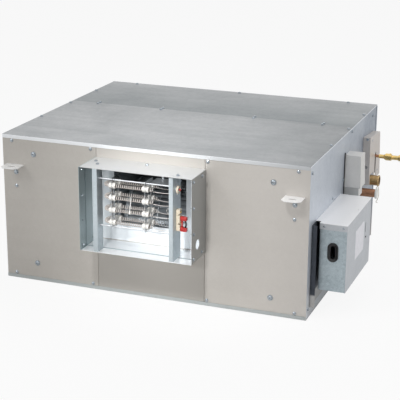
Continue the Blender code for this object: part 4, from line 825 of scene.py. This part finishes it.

# %% [markdown]
# ## Fasteners
# The sheets are held by self-drilling screws: a hexagon head on a pressed washer, with a smooth shank whose point shows
# on the inside of the collar. One head is turned, and copies of it go to a list of spots on each face. The brackets
# have bigger bolts with a flange under the head.

# %% Screws and bolts
SCREW = [(0, 0), (5.4, 0), (5.6, 0.5), (5.0, 1.0), (4.1, 1.1, 1), (4.1, 3.3, 1), (3.4, 3.9), (0, 3.7)]
SHANK = [(0, -9.5), (1.9, -6.5), (1.9, 0.5), (0, 0.5)]
BOLT = [(0, 0), (7.6, 0), (7.9, 0.4), (7.6, 1.2), (5.0, 1.3, 1), (5.0, 4.8, 1), (4.2, 5.6), (0, 5.4)]
BUTTON_HEAD = [(0, 0), (8.8, 0), (9.2, 0.4), (8.9, 1.2), (7.4, 1.5), (6.8, 1.3), (6.2, 2.9), (4.6, 3.9),
               (3.0, 4.2), (2.7, 1.8), (0, 1.8)]


def in_metres(profile):
    """Profile rows in millimetres with their radius and height in metres."""
    return [(radius * MM, height * MM, *flats) for radius, height, *flats in profile]


screw = together(turned(in_metres(SCREW), 24), turned(in_metres(SHANK), 8))
bolt = turned(in_metres(BOLT), 24)
button_head = turned(in_metres(BUTTON_HEAD), 20)


def fasten(name, head, spots, outward):
    """Piece with a head at each spot; each is turned a little further than the one before."""
    turns = 0.7 * np.arange(len(spots))
    return make_piece(name, copies(head, facing(spots, outward, turns)), screw_zinc)


def spots_on(axis, level, pairs):
    """Spots in a plane square to an axis: (x, z) pairs for y, (y, z) for x and (x, y) for z."""
    return upright(np.asarray(pairs, float), level, axis)


casing_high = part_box("top_panel_front")[1]
front_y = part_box("front_panel_left")[0].y
top_z = casing_high.z
half_w = casing_high.x
seam_y = casing_high.y
rear_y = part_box("rear_panel")[1].y
HEAD_ROW = top_z - 19 * MM
FOOT_ROW = 18 * MM
FRONT_COLUMNS = (-0.468, -0.196, 0.186, 0.4645)
row = [(x, z) for z in (HEAD_ROW, FOOT_ROW) for x in FRONT_COLUMNS]
fasten("front_screws", screw, spots_on(Y, front_y, row), (0, -1, 0))
ANCHORS = [(-0.3928, 0.4190), (0.3897, 0.4170), (-0.3916, 0.0591), (0.3879, 0.0570)]
fasten("front_button_heads", button_head, spots_on(Y, front_y, ANCHORS), (0, -1, 0))

# %% Screws of the top, the walls and the rear
EDGE_INSET = 7 * MM
top_row = [(x, seam_y + step) for step in (-9 * MM, 9 * MM) for x in (-0.400, -0.165, 0.165, 0.400)]
top_row += [(side * (half_w - EDGE_INSET), y) for side in (-1, 1) for y in (-0.170, 0.045, 0.250)]
top_row += [(x, rear_y - 14 * MM) for x in (-0.400, 0, 0.400)]
fasten("top_screws", screw, spots_on(Z, top_z, top_row), (0, 0, 1))
for side, name in ((-1, "left"), (1, "right")):
    wall = [(y, z) for y in (-0.402, 0.355) for z in (30 * MM, top_z - 24 * MM)]
    wall += [(0.062, top_z - 11 * MM), (0.062, 30 * MM)]
    if side > 0:
        wall += [(-0.157, 0.304), (-0.032, 0.330)]
    fasten(f"{name}_wall_screws", screw, spots_on(X, side * half_w, wall), (side, 0, 0))
rear = [(x, z) for x in (-0.472, -0.250, 0, 0.250, 0.472) for z in (22 * MM, top_z - 20 * MM)]
fasten("rear_screws", screw, spots_on(Y, rear_y, rear), (0, 1, 0))

# %% Bolts of the hanging brackets
BOLT_DROP = 26 * MM
SCREW_DROP = 71 * MM
for corner in CORNERS:
    low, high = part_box("hanging_bracket_" + corner)
    middle = (low.x + high.x) / 2
    outward, face = (-1, front_y) if corner.startswith("front") else (1, rear_y)
    fasten(f"bracket_bolt_{corner}", bolt, [(middle, face, high.z - BOLT_DROP)], (0, outward, 0))
    fasten(f"bracket_screw_{corner}", screw, [(middle, face, high.z - SCREW_DROP)], (0, outward, 0))

# %% Screws of the collar
COLLAR_SIDE = [(-0.4507, 0.4216), (-0.5216, 0.4219), (-0.5206, 0.3420), (-0.5196, 0.2621), (-0.4522, 0.1867),
               (-0.5202, 0.1849)]
COLLAR_TOP = [(-0.1396, -0.4884), (0.0017, -0.4429), (0.1282, -0.5104), (-0.1578, -0.4604)]
fasten("collar_screws_right", screw, spots_on(X, collar_high.x, COLLAR_SIDE), (1, 0, 0))
fasten("collar_screws_left", screw, spots_on(X, collar_low.x, COLLAR_SIDE), (-1, 0, 0))
fasten("collar_screws_top", screw, spots_on(Z, collar_high.z, COLLAR_TOP), (0, 0, 1))
fasten("collar_screws_base", screw, spots_on(Z, collar_low.z, [(-0.128, -0.512), (0.116, -0.512)]), (0, 0, -1))

# %% [markdown]
# ## Folded sheets with soft bends
# The solids have sharp folds. The sheets that the eye meets first, the top, the tray, the collar
# and its spigot, are made again as strips with bends of about 2 mm.

# %% Top, tray, collar and spigot
SHEET = 1.2 * MM
BEND = 2.2 * MM
low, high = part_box("top_panel_front")
top_line = [(high.y, high.z), (low.y, high.z), (low.y, low.z)]
even_shading(make_piece("top_sheet_front", folded(top_line, BEND, SHEET, X, low.x, high.x), top_steel,
                        replaces=["top_panel_front"]))
low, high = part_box("base_tray")
tray_line = [(low.y, high.z), (low.y, low.z), (high.y, low.z), (high.y, high.z)]
even_shading(make_piece("base_sheet", folded(tray_line, BEND, SHEET, X, low.x, high.x), lip_steel,
                        replaces=["base_tray"]))
HOLE_RADIUS = 15.5 * MM
HOLE_SPOT = (-0.4858, 0.2210)
for node, bend in (("discharge_collar", BEND), ("outlet_spigot", BEND - SHEET)):
    low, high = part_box(node)
    loop = [(low.x, low.z), (high.x, low.z), (high.x, high.z), (low.x, high.z)]
    sleeve = make_piece(node + "_sheet", folded(loop, bend, SHEET, Y, low.y, high.y, closed=True),
                        painted[node], replaces=[node])
    drill(sleeve, put(peg(HOLE_RADIUS, 9 * MM, 32), [(collar_high.x, *HOLE_SPOT)]))

# %% [markdown]
# ## Heater
# Each heating coil is a long helix of resistance wire that runs out along the front row of
# bushings, turns round and comes back along the rear row. The helix winds round that hairpin
# path, so its points are the path plus a circle that turns as the path goes on.

# %% Finely wound heating coils
TURN_PITCH = 6.8 * MM
STEPS_PER_TURN = 12
WIRE_RADIUS = 1.3 * MM
ROW_INSET = 11 * MM

rack_low, rack_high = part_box("coil_rack_left")
row_front, row_back = rack_low.y + ROW_INSET, rack_high.y - ROW_INSET
bend_radius = (row_back - row_front) / 2


def hairpin(along, start, turn_x):
    """Centre and sideways direction at distances along the path: out, half a circle, and back."""
    run = start - turn_x
    angle = np.clip((along - run) / bend_radius, 0, np.pi)
    back = np.maximum(along - run - np.pi * bend_radius, 0)
    side = np.stack((-np.sin(angle), -np.cos(angle), 0 * angle), axis=1)
    x = np.where(along < run, start - along, turn_x + back) - bend_radius * np.sin(angle)
    y = (row_front + row_back) / 2 - bend_radius * np.cos(angle)
    return np.stack((x, y, 0 * x), axis=1), side


for number in range(1, 5):
    low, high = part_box(f"heating_coil_{number}")
    level = (low.z + high.z) / 2
    coil_radius = (high.z - low.z) / 2 - WIRE_RADIUS
    start, turn_x = high.x - WIRE_RADIUS, low.x + bend_radius + coil_radius + WIRE_RADIUS
    length = 2 * (start - turn_x) + np.pi * bend_radius
    count = round(length / TURN_PITCH) * STEPS_PER_TURN
    along = np.linspace(0, length, count + 1)
    centre, side = hairpin(along, start, turn_x)
    wind = 2 * np.pi * along[:, None] / TURN_PITCH
    helix = centre + coil_radius * (np.cos(wind) * side + np.sin(wind) * np.array((0, 0, 1))) + (0, 0, level)
    make_piece(f"fine_heating_coil_{number}", swept(helix, WIRE_RADIUS, np.gradient(centre, axis=0), 6),
               resistance_wire, replaces=[f"heating_coil_{number}"])

# %% [markdown]
# The wire must not touch its steel racks, so it runs through ceramic bushings. A bushing is a
# spool: a tube with a rim at both ends and a groove in which the rack's sheet sits. The racks are
# thin ladders with a window between the levels.

# %% Racks and their bushings
BUSHING = [(7.0, 9.0), (7.4, 10.0), (8.8, 10.0), (9.3, 9.2), (9.3, 6.0), (8.4, 5.0), (8.4, 1.4), (9.5, 1.2),
           (9.8, 0.0), (9.5, -1.2), (8.4, -1.4), (8.4, -5.0), (9.3, -6.0), (9.3, -9.2), (8.8, -10.0), (7.4, -10.0),
           (7.0, -9.0)]
RACK_THICK = 1.0 * MM
SEAT_RADIUS = 8.6 * MM
PIN_RADIUS = 2.6 * MM
WINDOW = (34 * MM, 15 * MM)
levels = [sum(corner.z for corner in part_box(f"heating_coil_{n}")) / 2 for n in range(1, 5)]
rod_heights = [sum(corner.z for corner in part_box(f"heater_rod_{end}")) / 2 for end in ("top", "bottom")]
spool = turned(in_metres(BUSHING), 20, closed=True)
for side in ("left", "right"):
    low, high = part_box(f"coil_rack_{side}")
    x = (low.x + high.x) / 2
    outline = oblong(((low.y + high.y) / 2, (low.z + high.z) / 2), (high.y - low.y, high.z - low.z), 4 * MM)
    rack = make_piece(f"rack_plate_{side}", plate(outline, X, x - RACK_THICK / 2, x + RACK_THICK / 2),
                      zinc_plate)
    windows = []
    for upper, lower in zip(levels, levels[1:]):
        gap = oblong(((row_front + row_back) / 2, (upper + lower) / 2), WINDOW, 3 * MM)
        windows.append(plate(gap, X, x - 5 * MM, x + 5 * MM))
    seats = [(x, y, z) for y in (row_front, row_back) for z in levels]
    rods = [(x, row_front, z) for z in rod_heights]
    drill(rack, together(*windows, put(peg(SEAT_RADIUS, 5 * MM, 20), seats), put(peg(PIN_RADIUS, 5 * MM, 12), rods)))
    make_piece(f"bushings_{side}", put(spool, seats), ivory_ceramic, replaces=[f"coil_rack_{side}"])
    collar = turned(in_metres([(2.3, 1.6), (3.6, 1.6), (3.6, 4.2), (2.3, 4.2)]), 12, closed=True)
    make_piece(f"rod_clips_{side}", put(collar, rods), zinc_plate)

# %% [markdown]
# ## Leads and controls of the heater
# From each coil's two ends a straight piece of the same wire runs on to the right-hand post. A
# thicker white lead carries the temperature sensor that hangs in front of the coils.

# %% Leads from the coils to the post
post_low, post_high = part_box("heater_post_right")
coil_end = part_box("heating_coil_1")[1].x
LEAD_RADIUS = 0.7 * MM
SENSE_RADIUS = 1.1 * MM
lead_end = post_low.x - 1 * MM


def lead(start, end, sag, radius=LEAD_RADIUS):
    """Lead between two points that hangs through by sag at its middle."""
    start, end = np.array(start, float), np.array(end, float)
    middle = (start + end) / 2 - (0, 0, sag)
    return swept(smooth_path([start, middle, end], 16), radius, (0, 0.2, 1), 8)


leads = []
for number, level in enumerate(levels):
    leads.append(lead((coil_end - 2 * MM, row_front, level - 5 * MM), (lead_end, row_front + 8 * MM, level - 7 * MM),
                      (1 + number % 2) * MM))
    leads.append(lead((coil_end - 2 * MM, row_back, level - 4 * MM), (lead_end, row_back - 4 * MM, level - 1 * MM),
                      3 * MM))
make_piece("coil_leads", together(*leads), resistance_wire)
sense_top = (-0.016, row_front - 8 * MM, levels[1] + 10 * MM)
sense = smooth_path([sense_top, (-0.017, row_front - 9 * MM, levels[1] - 8 * MM),
                     (-0.020, row_front - 9 * MM, levels[2] + 8 * MM)], 14)
make_piece("sense_lead", swept(sense, SENSE_RADIUS, (1, 0, 0), 8), white_moulding)
bulb = turned(in_metres([(0, -6), (2.6, -5), (3.4, -2), (3.4, 3), (1.6, 6), (0, 6.5)]), 16)
make_piece("sense_bulb", put(bulb, [(-0.020, row_front - 9 * MM, levels[2] + 1 * MM)], (0, 0, 1)), ivory_ceramic)

# %% Tail of the lowest coil and the clip of the leads
TAIL_PITCH = 8.5 * MM
turns_left = np.linspace(0, 4.5, 60)
tail = np.stack((0.053 + TAIL_PITCH * turns_left, row_back - 2 * MM + 8 * MM * np.cos(2 * np.pi * turns_left),
                 levels[3] + 2 * MM + 8 * MM * np.sin(2 * np.pi * turns_left)), axis=1)
make_piece("coil_tail", swept(tail, WIRE_RADIUS, (1, 0, 0), 6), zinc_plate)
diamond = [(post_low.x - 15 * MM, row_front + 12 * MM, levels[1] - 24 * MM + z * MM) for z in (9, 0, -9, 0)]
diamond = np.array(diamond) + np.array([(0, 0, 0), (5, 0, 0), (0, 0, 0), (-5, 0, 0)]) * MM
make_piece("lead_clip", swept(diamond, 1.0 * MM, (0, 1, 0), 8, closed=True), ivory_ceramic)

# %% Terminal screws, cut-out flange and the link between the connectors
strip_low, strip_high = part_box("terminal_strip")
strip_y = (strip_low.y + strip_high.y) / 2
spots = [(strip_high.x, strip_y, z) for z in np.linspace(strip_low.z + 8 * MM, strip_high.z - 8 * MM, 4)]
terminal = turned(in_metres([(0, 0), (3.4, 0), (3.4, 1.0), (2.6, 1.6), (1.0, 1.9), (0, 1.2)]), 16)
make_piece("terminal_screws", put(terminal, spots), turned_brass)
low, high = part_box("thermal_cutout")
middle = ((low.y + high.y) / 2, (low.z + high.z) / 2)
ears = plate(oblong(middle, (10 * MM, 36 * MM), 4.9 * MM), X, low.x, low.x + 0.8 * MM)
rim = put(turned(in_metres([(9.0, 0), (12.4, 0), (12.6, 1.0), (12.2, 2.0), (9.0, 2.0)]), 28, closed=True),
          [(low.x, *middle)])
make_piece("cutout_flange", together(ears, rim), zinc_plate)
boots, ribs = [], []
for end in ("upper", "lower"):
    low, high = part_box("connector_" + end)
    x, y, z = low.x, (low.y + high.y) / 2, (low.z + high.z) / 2
    boots.append(rounded_block((x, y - 5.6 * MM, z - 5.8 * MM), (x + 20 * MM, y + 5.6 * MM, z + 5.8 * MM), 1.8 * MM))
    for step in (5, 9, 13):
        ribs.append(rounded_block((x + step * MM, y - 6.2 * MM, z - 6.4 * MM),
                                  (x + (step + 1.6) * MM, y + 6.2 * MM, z + 6.4 * MM), 0.7 * MM))
make_piece("connector_boots", together(*boots, *ribs), red_moulding,
           replaces=["connector_upper", "connector_lower"])
upper, lower = (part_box("connector_" + end) for end in ("upper", "lower"))
tie = [(x + 15 * MM, y - 1 * MM, upper[0].z), (x + 17.5 * MM, y - 1.5 * MM, (upper[0].z + lower[1].z) / 2),
       (x + 15 * MM, y - 1 * MM, lower[1].z)]
make_piece("connector_link", swept(smooth_path(tie, 20), 2.4 * MM, (0, 1, 0), 10), black_moulding)
stem = [(x + 4 * MM, y, upper[0].z), (x + 4.5 * MM, y, (upper[0].z + lower[1].z) / 2), (x + 4 * MM, y, lower[1].z)]
make_piece("connector_stem", swept(smooth_path(stem, 12), 2.6 * MM, (0, 1, 0), 10), red_moulding)

# %% [markdown]
# The remaining sheets already have the right outline and only need their folds rounded. A copy of
# the solid is merged, the facets of each flat face become one face, and a bevel turns each fold
# into an arc. A fold is an edge between two wide faces. The rim of a sheet is narrow, so its area
# divided by its longest edge tells it from the skin.

# %% Sheets with rounded folds
WIDE = 3 * MM
FOLD_ANGLE = math.radians(25)


def fold_edges(work, sign, between_wide):
    """Edges that turn outwards (sign 1) or inwards (-1), between two wide faces or at a rim."""
    wide = {face: face.calc_area() > WIDE * max(edge.calc_length() for edge in face.edges) for face in work.faces}
    return [edge for edge in work.edges if edge.is_manifold and sign * edge.calc_face_angle_signed(0) > FOLD_ANGLE
            and all(wide[face] for face in edge.link_faces) == between_wide]


def softened(node, bend=BEND, thick=SHEET, rim=0.0):
    """Copy of a folded solid with arcs at its folds: radius r outside, r minus the thickness inside."""
    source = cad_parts[node]
    work = bmesh.new()
    work.from_mesh(source.data)
    work.transform(source.matrix_world)
    bmesh.ops.remove_doubles(work, verts=work.verts, dist=1e-5)
    bmesh.ops.dissolve_limit(work, angle_limit=math.radians(0.5), verts=work.verts, edges=work.edges)
    for sign, radius, between_wide, steps in ((1, bend, True, 4), (-1, bend - thick, True, 4), (1, rim, False, 1)):
        if radius > 0:
            bmesh.ops.bevel(work, geom=fold_edges(work, sign, between_wide), offset=radius, offset_type="OFFSET",
                            segments=steps, profile=0.5, affect="EDGES", clamp_overlap=True)
    data = bpy.data.meshes.new(node + "_sheet")
    work.to_mesh(data)
    work.free()
    finish_mesh(data)
    finish = painted[node]
    return even_shading(keep_piece(node + "_sheet", data, finish, replaces=[node]))


for node in ("front_panel_left", "front_panel_centre", "front_panel_right", "side_panel_left", "side_panel_right",
             "rear_panel", "top_cross_rail", "heater_post_left", "heater_post_right", "control_box_body",
             "control_box_bracket", "wiring_cover", "drain_pan"):
    softened(node)
for corner in CORNERS:
    softened("hanging_bracket_" + corner, 0.6 * MM, 0.2 * MM, rim=0.3 * MM)

# %% [markdown]
# ## Connection side
# The lid of the control box is folded more softly than the casing. It has two screws in its band,
# a hole in its top, two latch slots beside a blank label, and the box under it a rubber grommet.

# %% Lid, label and grommet of the control box
LID_BEND = 2.6 * MM
LABEL = ((-0.195, 0.193), (0.108, 0.092))
LATCHES = [((-0.119, 0.211), (0.006, 0.034)), ((-0.113, 0.178), (0.016, 0.006))]
LID_HOLE = (0.5920, -0.1953)
BAND_SCREWS = [(0.5304, 0.2795), (0.5875, 0.2795)]
lid_low, lid_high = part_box("control_box_cover")
lid = softened("control_box_cover", LID_BEND)
slots = [plate(oblong(*latch, 2.9 * MM), X, lid_high.x - 6 * MM, lid_high.x + 6 * MM) for latch in LATCHES]
drill(lid, together(*slots, put(peg(2.4 * MM, 6 * MM, 20), [(*LID_HOLE, lid_high.z)], (0, 0, 1))))
flat_screw = turned(in_metres([(0, 0), (3.6, 0), (3.8, 0.3), (3.4, 1.0), (2.2, 1.4), (0.9, 1.5), (0, 0.9)]), 16)
fasten("lid_screws", flat_screw, spots_on(Y, lid_low.y, BAND_SCREWS), (0, -1, 0))
make_piece("blank_label", plate(oblong(*LABEL, 2.5 * MM), X, lid_high.x, lid_high.x + 0.3 * MM, 0.1 * MM),
           label_paper)

# %% Fluted grommet
GROMMET = [(9.4, 6.0), (9.4, -0.4), (9.0, -0.7), (7.0, -0.7), (6.6, -1.2), (4.6, -2.6), (2.2, -3.4), (0.7, -3.0),
           (0.2, -2.0), (0.0, -0.6), (0.3, 0.0), (2.6, 0.0), (2.8, 0.3), (2.8, 1.6), (2.6, 2.2), (5.2, 2.6),
           (8.4, 2.8)]
FLUTES = 26
FLUTE_DEPTH = 0.9 * MM
FLUTED_FROM = 5  # millimetres in from the rim
low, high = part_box("cable_grommet")
middle = ((low.x + high.x) / 2, (low.z + high.z) / 2)
face_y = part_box("control_box_body")[0].y - 0.3 * MM
rows = []
for inset, depth in GROMMET[::-1]:
    flute = FLUTE_DEPTH if inset > FLUTED_FROM else 0.0
    inset, radius = inset * MM, (high.x - low.x) / 2 - inset * MM
    outline = oblong(middle, (high.x - low.x - 2 * inset, high.z - low.z - 2 * inset), radius, 40)
    round_part = np.arange(len(outline)) * 2 * np.pi * FLUTES / len(outline)
    inward = np.asarray(middle) - outline
    inward /= np.linalg.norm(inward, axis=1, keepdims=True)
    outline = outline + flute * (0.5 - 0.5 * np.cos(round_part))[:, None] * inward
    rows.append(upright(outline, face_y + depth * MM, Y))
make_piece("grommet_ring", shell(np.array(rows), closed=True), black_moulding,
           replaces=["cable_grommet"])

# %% Screws of the pipe cover and a black strip for the shade beside the wiring cover
entry_low, entry_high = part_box("wiring_cover")
# Painted shade: a thin black strip along the edge of the wiring cover stands in for the shade in the gap between the
# cover and the wall.
shade_strip = [(half_w + 1.6 * MM, entry_low.y - 1.2 * MM, entry_low.z + 3 * MM),
        (half_w + 1.6 * MM, entry_low.y - 1.2 * MM, entry_high.z - 4 * MM),
        (half_w + 1.6 * MM, entry_low.y + 3 * MM, entry_high.z + 1.2 * MM),
        (half_w + 1.6 * MM, entry_low.y + 9 * MM, entry_high.z + 1.4 * MM)]
make_piece("cover_shade_strip", swept(smooth_path(shade_strip, 40), 1.5 * MM, (1, 0, 0), 8), black_moulding)
cover_low, cover_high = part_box("pipe_cover")
softened("pipe_cover")
fasten("cover_screws", screw, [(0.5152, cover_low.y + 1.2 * MM, 0.3985)], (0, -1, 0))
fasten("cover_face_screws", flat_screw, [(cover_high.x, 0.262, 0.388), (cover_high.x, 0.352, 0.262)], (1, 0, 0))

# %% [markdown]
# Every tube outlet ends in a turned part: a brass union with a rolled rim, a white cap with its
# loop, and a small brass valve with a hexagon, a barrel and a flare nut.

# %% Union, cap and vent valve
UNION = [(13.0, 52.8), (17.6, 52.8), (18.6, 52.2), (19.2, 51.2), (19.2, 48.6), (18.4, 47.8), (17.2, 47.2), (17.2, 25.0),
         (17.8, 24.4), (17.8, 16.0), (18.4, 14.6), (19.8, 13.6), (19.8, 1.4), (19.0, 0.2), (13.2, 0.2), (13.0, 0.4)]
low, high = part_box("supply_union")
middle = ((low.y + high.y) / 2, (low.z + high.z) / 2)
make_piece("brass_union", put(turned(in_metres(UNION), 40, closed=True), [(low.x, *middle)]), aged_brass,
           replaces=["supply_union"])
CAP = [(0, 4.6), (9.0, 4.8), (10.0, 4.2), (14.0, 4.2), (15.2, 4.9), (17.0, 4.9), (17.9, 4.2), (17.9, 0.6), (17.4, 0.1),
       (11.1, 0.0), (11.1, -11.0), (10.4, -11.9), (0, -11.9)]
low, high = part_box("return_cap")
cap_y, cap_z = (low.y + high.y) / 2, (low.z + high.z) / 2
face = high.x - 5 * MM
make_piece("white_cap", put(turned(in_metres(CAP), 36), [(face, cap_y, cap_z)]), white_moulding,
           replaces=["return_cap"])
loop = [(0.5500, cap_y, 0.2330), (0.5575, cap_y, 0.2350), (0.5604, cap_y, 0.2105), (0.5564, cap_y, 0.1919),
        (0.5520, cap_y, 0.1823), (0.5576, cap_y, 0.1800)]
make_piece("cap_loop", swept(smooth_path(loop, 40), 1.1 * MM, (0, 1, 0), 8), cream_moulding)
VALVE = [(0, 12.0), (5.4, 12.0), (5.4, 0.4), (6.8, 0.4), (7.0, 1.0), (6.8, 1.6), (6.8, 17.0), (7.6, 18.2),
         (9.6, 21.2), (9.8, 22.6), (10.6, 22.8, 1), (10.6, 43.0, 1), (9.8, 43.4), (8.4, 44.4), (7.5, 44.6),
         (7.1, 45.4), (7.7, 46.1), (7.1, 46.9), (7.7, 47.6), (7.1, 48.4), (7.7, 49.1), (7.1, 49.9), (7.7, 50.6), (7.1, 51.4), (7.7, 52.2), (7.5, 66.6), (7.6, 67.0),
         (9.3, 67.4, 1), (9.3, 75.4, 1), (8.6, 76.6), (6.4, 76.8), (5.6, 72.0), (0, 72.0)]
low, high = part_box("vent_fitting")
vent_y, vent_z = (low.y + high.y) / 2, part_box("vent_pipe")[0].z + 5 * MM
barrel = put(turned(in_metres(VALVE), 36), [(low.x, vent_y, vent_z)])
stub = turned(in_metres([(0, 0), (2.6, 0), (2.6, 3.0), (2.0, 3.8), (0, 3.8)]), 16)
lug = put(stub, [(low.x + 39 * MM, vent_y, vent_z + 9.6 * MM)], (0, 0, 1))
make_piece("brass_valve", together(barrel, lug), turned_brass, replaces=["vent_fitting"])

# %% [markdown]
# ## Inside the casing
# The wheel, the fin block and the filter have far more leaves than a light solid can carry. A
# leaf is made once, and copies go round the axis or along the block.

# %% Fan wheel with all its blades
WHEEL_BLADES = 44
BLADE_STEPS = 6
BLADE_INSET = 17.6 * MM
BLADE_DEPTH = 16.4 * MM
BLADE_HALF_THICK = 0.3 * MM
BLADE_SWEEP = math.radians(11)
wheel_low, wheel_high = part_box("impeller")
wheel_radius = (wheel_high.z - wheel_low.z) / 2
wheel_half = wheel_high.x - 1.5 * MM
axis = np.array((0.0, (wheel_low.y + wheel_high.y) / 2, (wheel_low.z + wheel_high.z) / 2))
share = np.linspace(0, 1, BLADE_STEPS)
reach = wheel_radius - BLADE_INSET + BLADE_DEPTH * share
sweep = BLADE_SWEEP * share ** 1.7
skin = np.stack((reach * np.cos(sweep), reach * np.sin(sweep)), axis=1)
away = BLADE_HALF_THICK * np.stack((-np.sin(sweep), np.cos(sweep)), axis=1)
leaf = np.concatenate((skin + away, (skin - away)[::-1]))
blade = shell(capped(np.stack((upright(leaf, -wheel_half, X), upright(leaf, wheel_half, X)))))
angle = 2 * np.pi * np.arange(WHEEL_BLADES) / WHEEL_BLADES
turns = np.zeros((WHEEL_BLADES, 4, 4))
turns[:, 0, 0] = turns[:, 3, 3] = 1
turns[:, 1, 1] = turns[:, 2, 2] = np.cos(angle)
turns[:, 1, 2], turns[:, 2, 1] = -np.sin(angle), np.sin(angle)
turns[:, :3, 3] = axis
DISC = [(6.3, 13), (12, 13), (16, 11), (19, 9), (20, 3), (24, 1.0), (60, 0.8), (64, 2.4), (80, 2.4), (84, 0.8),
        (117, 0.8), (117, -0.8), (84, -0.8), (80, 0.8), (64, 0.8), (60, -0.8), (24, -1.0), (20, -3), (19, -9),
        (16, -11), (12, -13), (6.3, -13)]
RING = [(102.4, 1.0), (102.8, 1.6), (119.4, 1.6), (119.9, 1.0), (119.9, -1.4), (119.2, -2.0), (118.4, -1.4),
        (118.4, 0.0), (103.4, 0.0), (102.6, 0.2)]
disc = put(turned(in_metres(DISC), 64, closed=True), [axis])
rings = [put(turned(in_metres(RING), 64, closed=True), [axis + (side * (wheel_half - 0.6 * MM), 0, 0)], (side, 0, 0))
         for side in (-1, 1)]
make_piece("fine_wheel", together(copies(blade, turns), disc, *rings), inner_steel, "fan",
           replaces=["impeller"])

# %% Fins of the coil
FIN_PITCH = 2.0 * MM
FIN_HALF_THICK = 0.10 * MM
FIN_STEPS = 19
FIN_WAVE = 0.5 * MM
low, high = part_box("coil_fins")
depth = np.linspace(low.y, high.y, FIN_STEPS)
wave = FIN_WAVE * np.where(np.arange(FIN_STEPS) % 2, 1, -1)
outline = np.concatenate((np.stack((wave + FIN_HALF_THICK, depth), axis=1),
                          np.stack((wave - FIN_HALF_THICK, depth), axis=1)[::-1]))
fin = shell(capped(np.stack((upright(outline, low.z, Z), upright(outline, high.z, Z)))))
stations = np.tile(np.eye(4), (int((high.x - low.x - 2 * MM) / FIN_PITCH), 1, 1))
stations[:, 0, 3] = np.linspace(low.x + 1 * MM, high.x - 1 * MM, len(stations))
tube = turned([(0, low.x), (5.0 * MM, low.x), (5.0 * MM, high.x), (0, high.x)], 12)
heights = np.arange(low.z + 12.5 * MM, high.z, 25 * MM)
tubes = [put(tube, [(0, y, z) for z in heights + shift])
         for y, shift in ((low.y + 28 * MM, 0), (low.y + 66 * MM, 6 * MM), (low.y + 104 * MM, 0))]
make_piece("fine_fins", copies(fin, stations), fin_stock, replaces=["coil_fins"])
make_piece("coil_tubes", together(*tubes), copper_tube)

# %% Filter with close pleats
PLEAT_PITCH = 11 * MM
MAT_THICK = 1.4 * MM
low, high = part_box("filter_media")
folds = 2 * round((high.x - low.x - 2 * MM) / PLEAT_PITCH)
middle_y = (low.y + high.y) / 2
reach = (high.y - low.y) / 2 - MAT_THICK
zigzag = np.stack((np.linspace(low.x + 1 * MM, high.x - 1 * MM, folds + 1),
                   middle_y + reach * np.where(np.arange(folds + 1) % 2, 1, -1)), axis=1)
line, ways = rounded(zigzag, 0.9 * MM, 2)
across = MAT_THICK / 2 * np.stack((-ways[:, 1], ways[:, 0]), axis=1)
strip = np.stack((upright(line + across, low.z, Z), upright(line + across, high.z, Z),
                  upright(line - across, high.z, Z), upright(line - across, low.z, Z)), axis=1)
make_piece("pleated_mat", shell(capped(strip)), filter_fibre, "filter", replaces=["filter_media"])
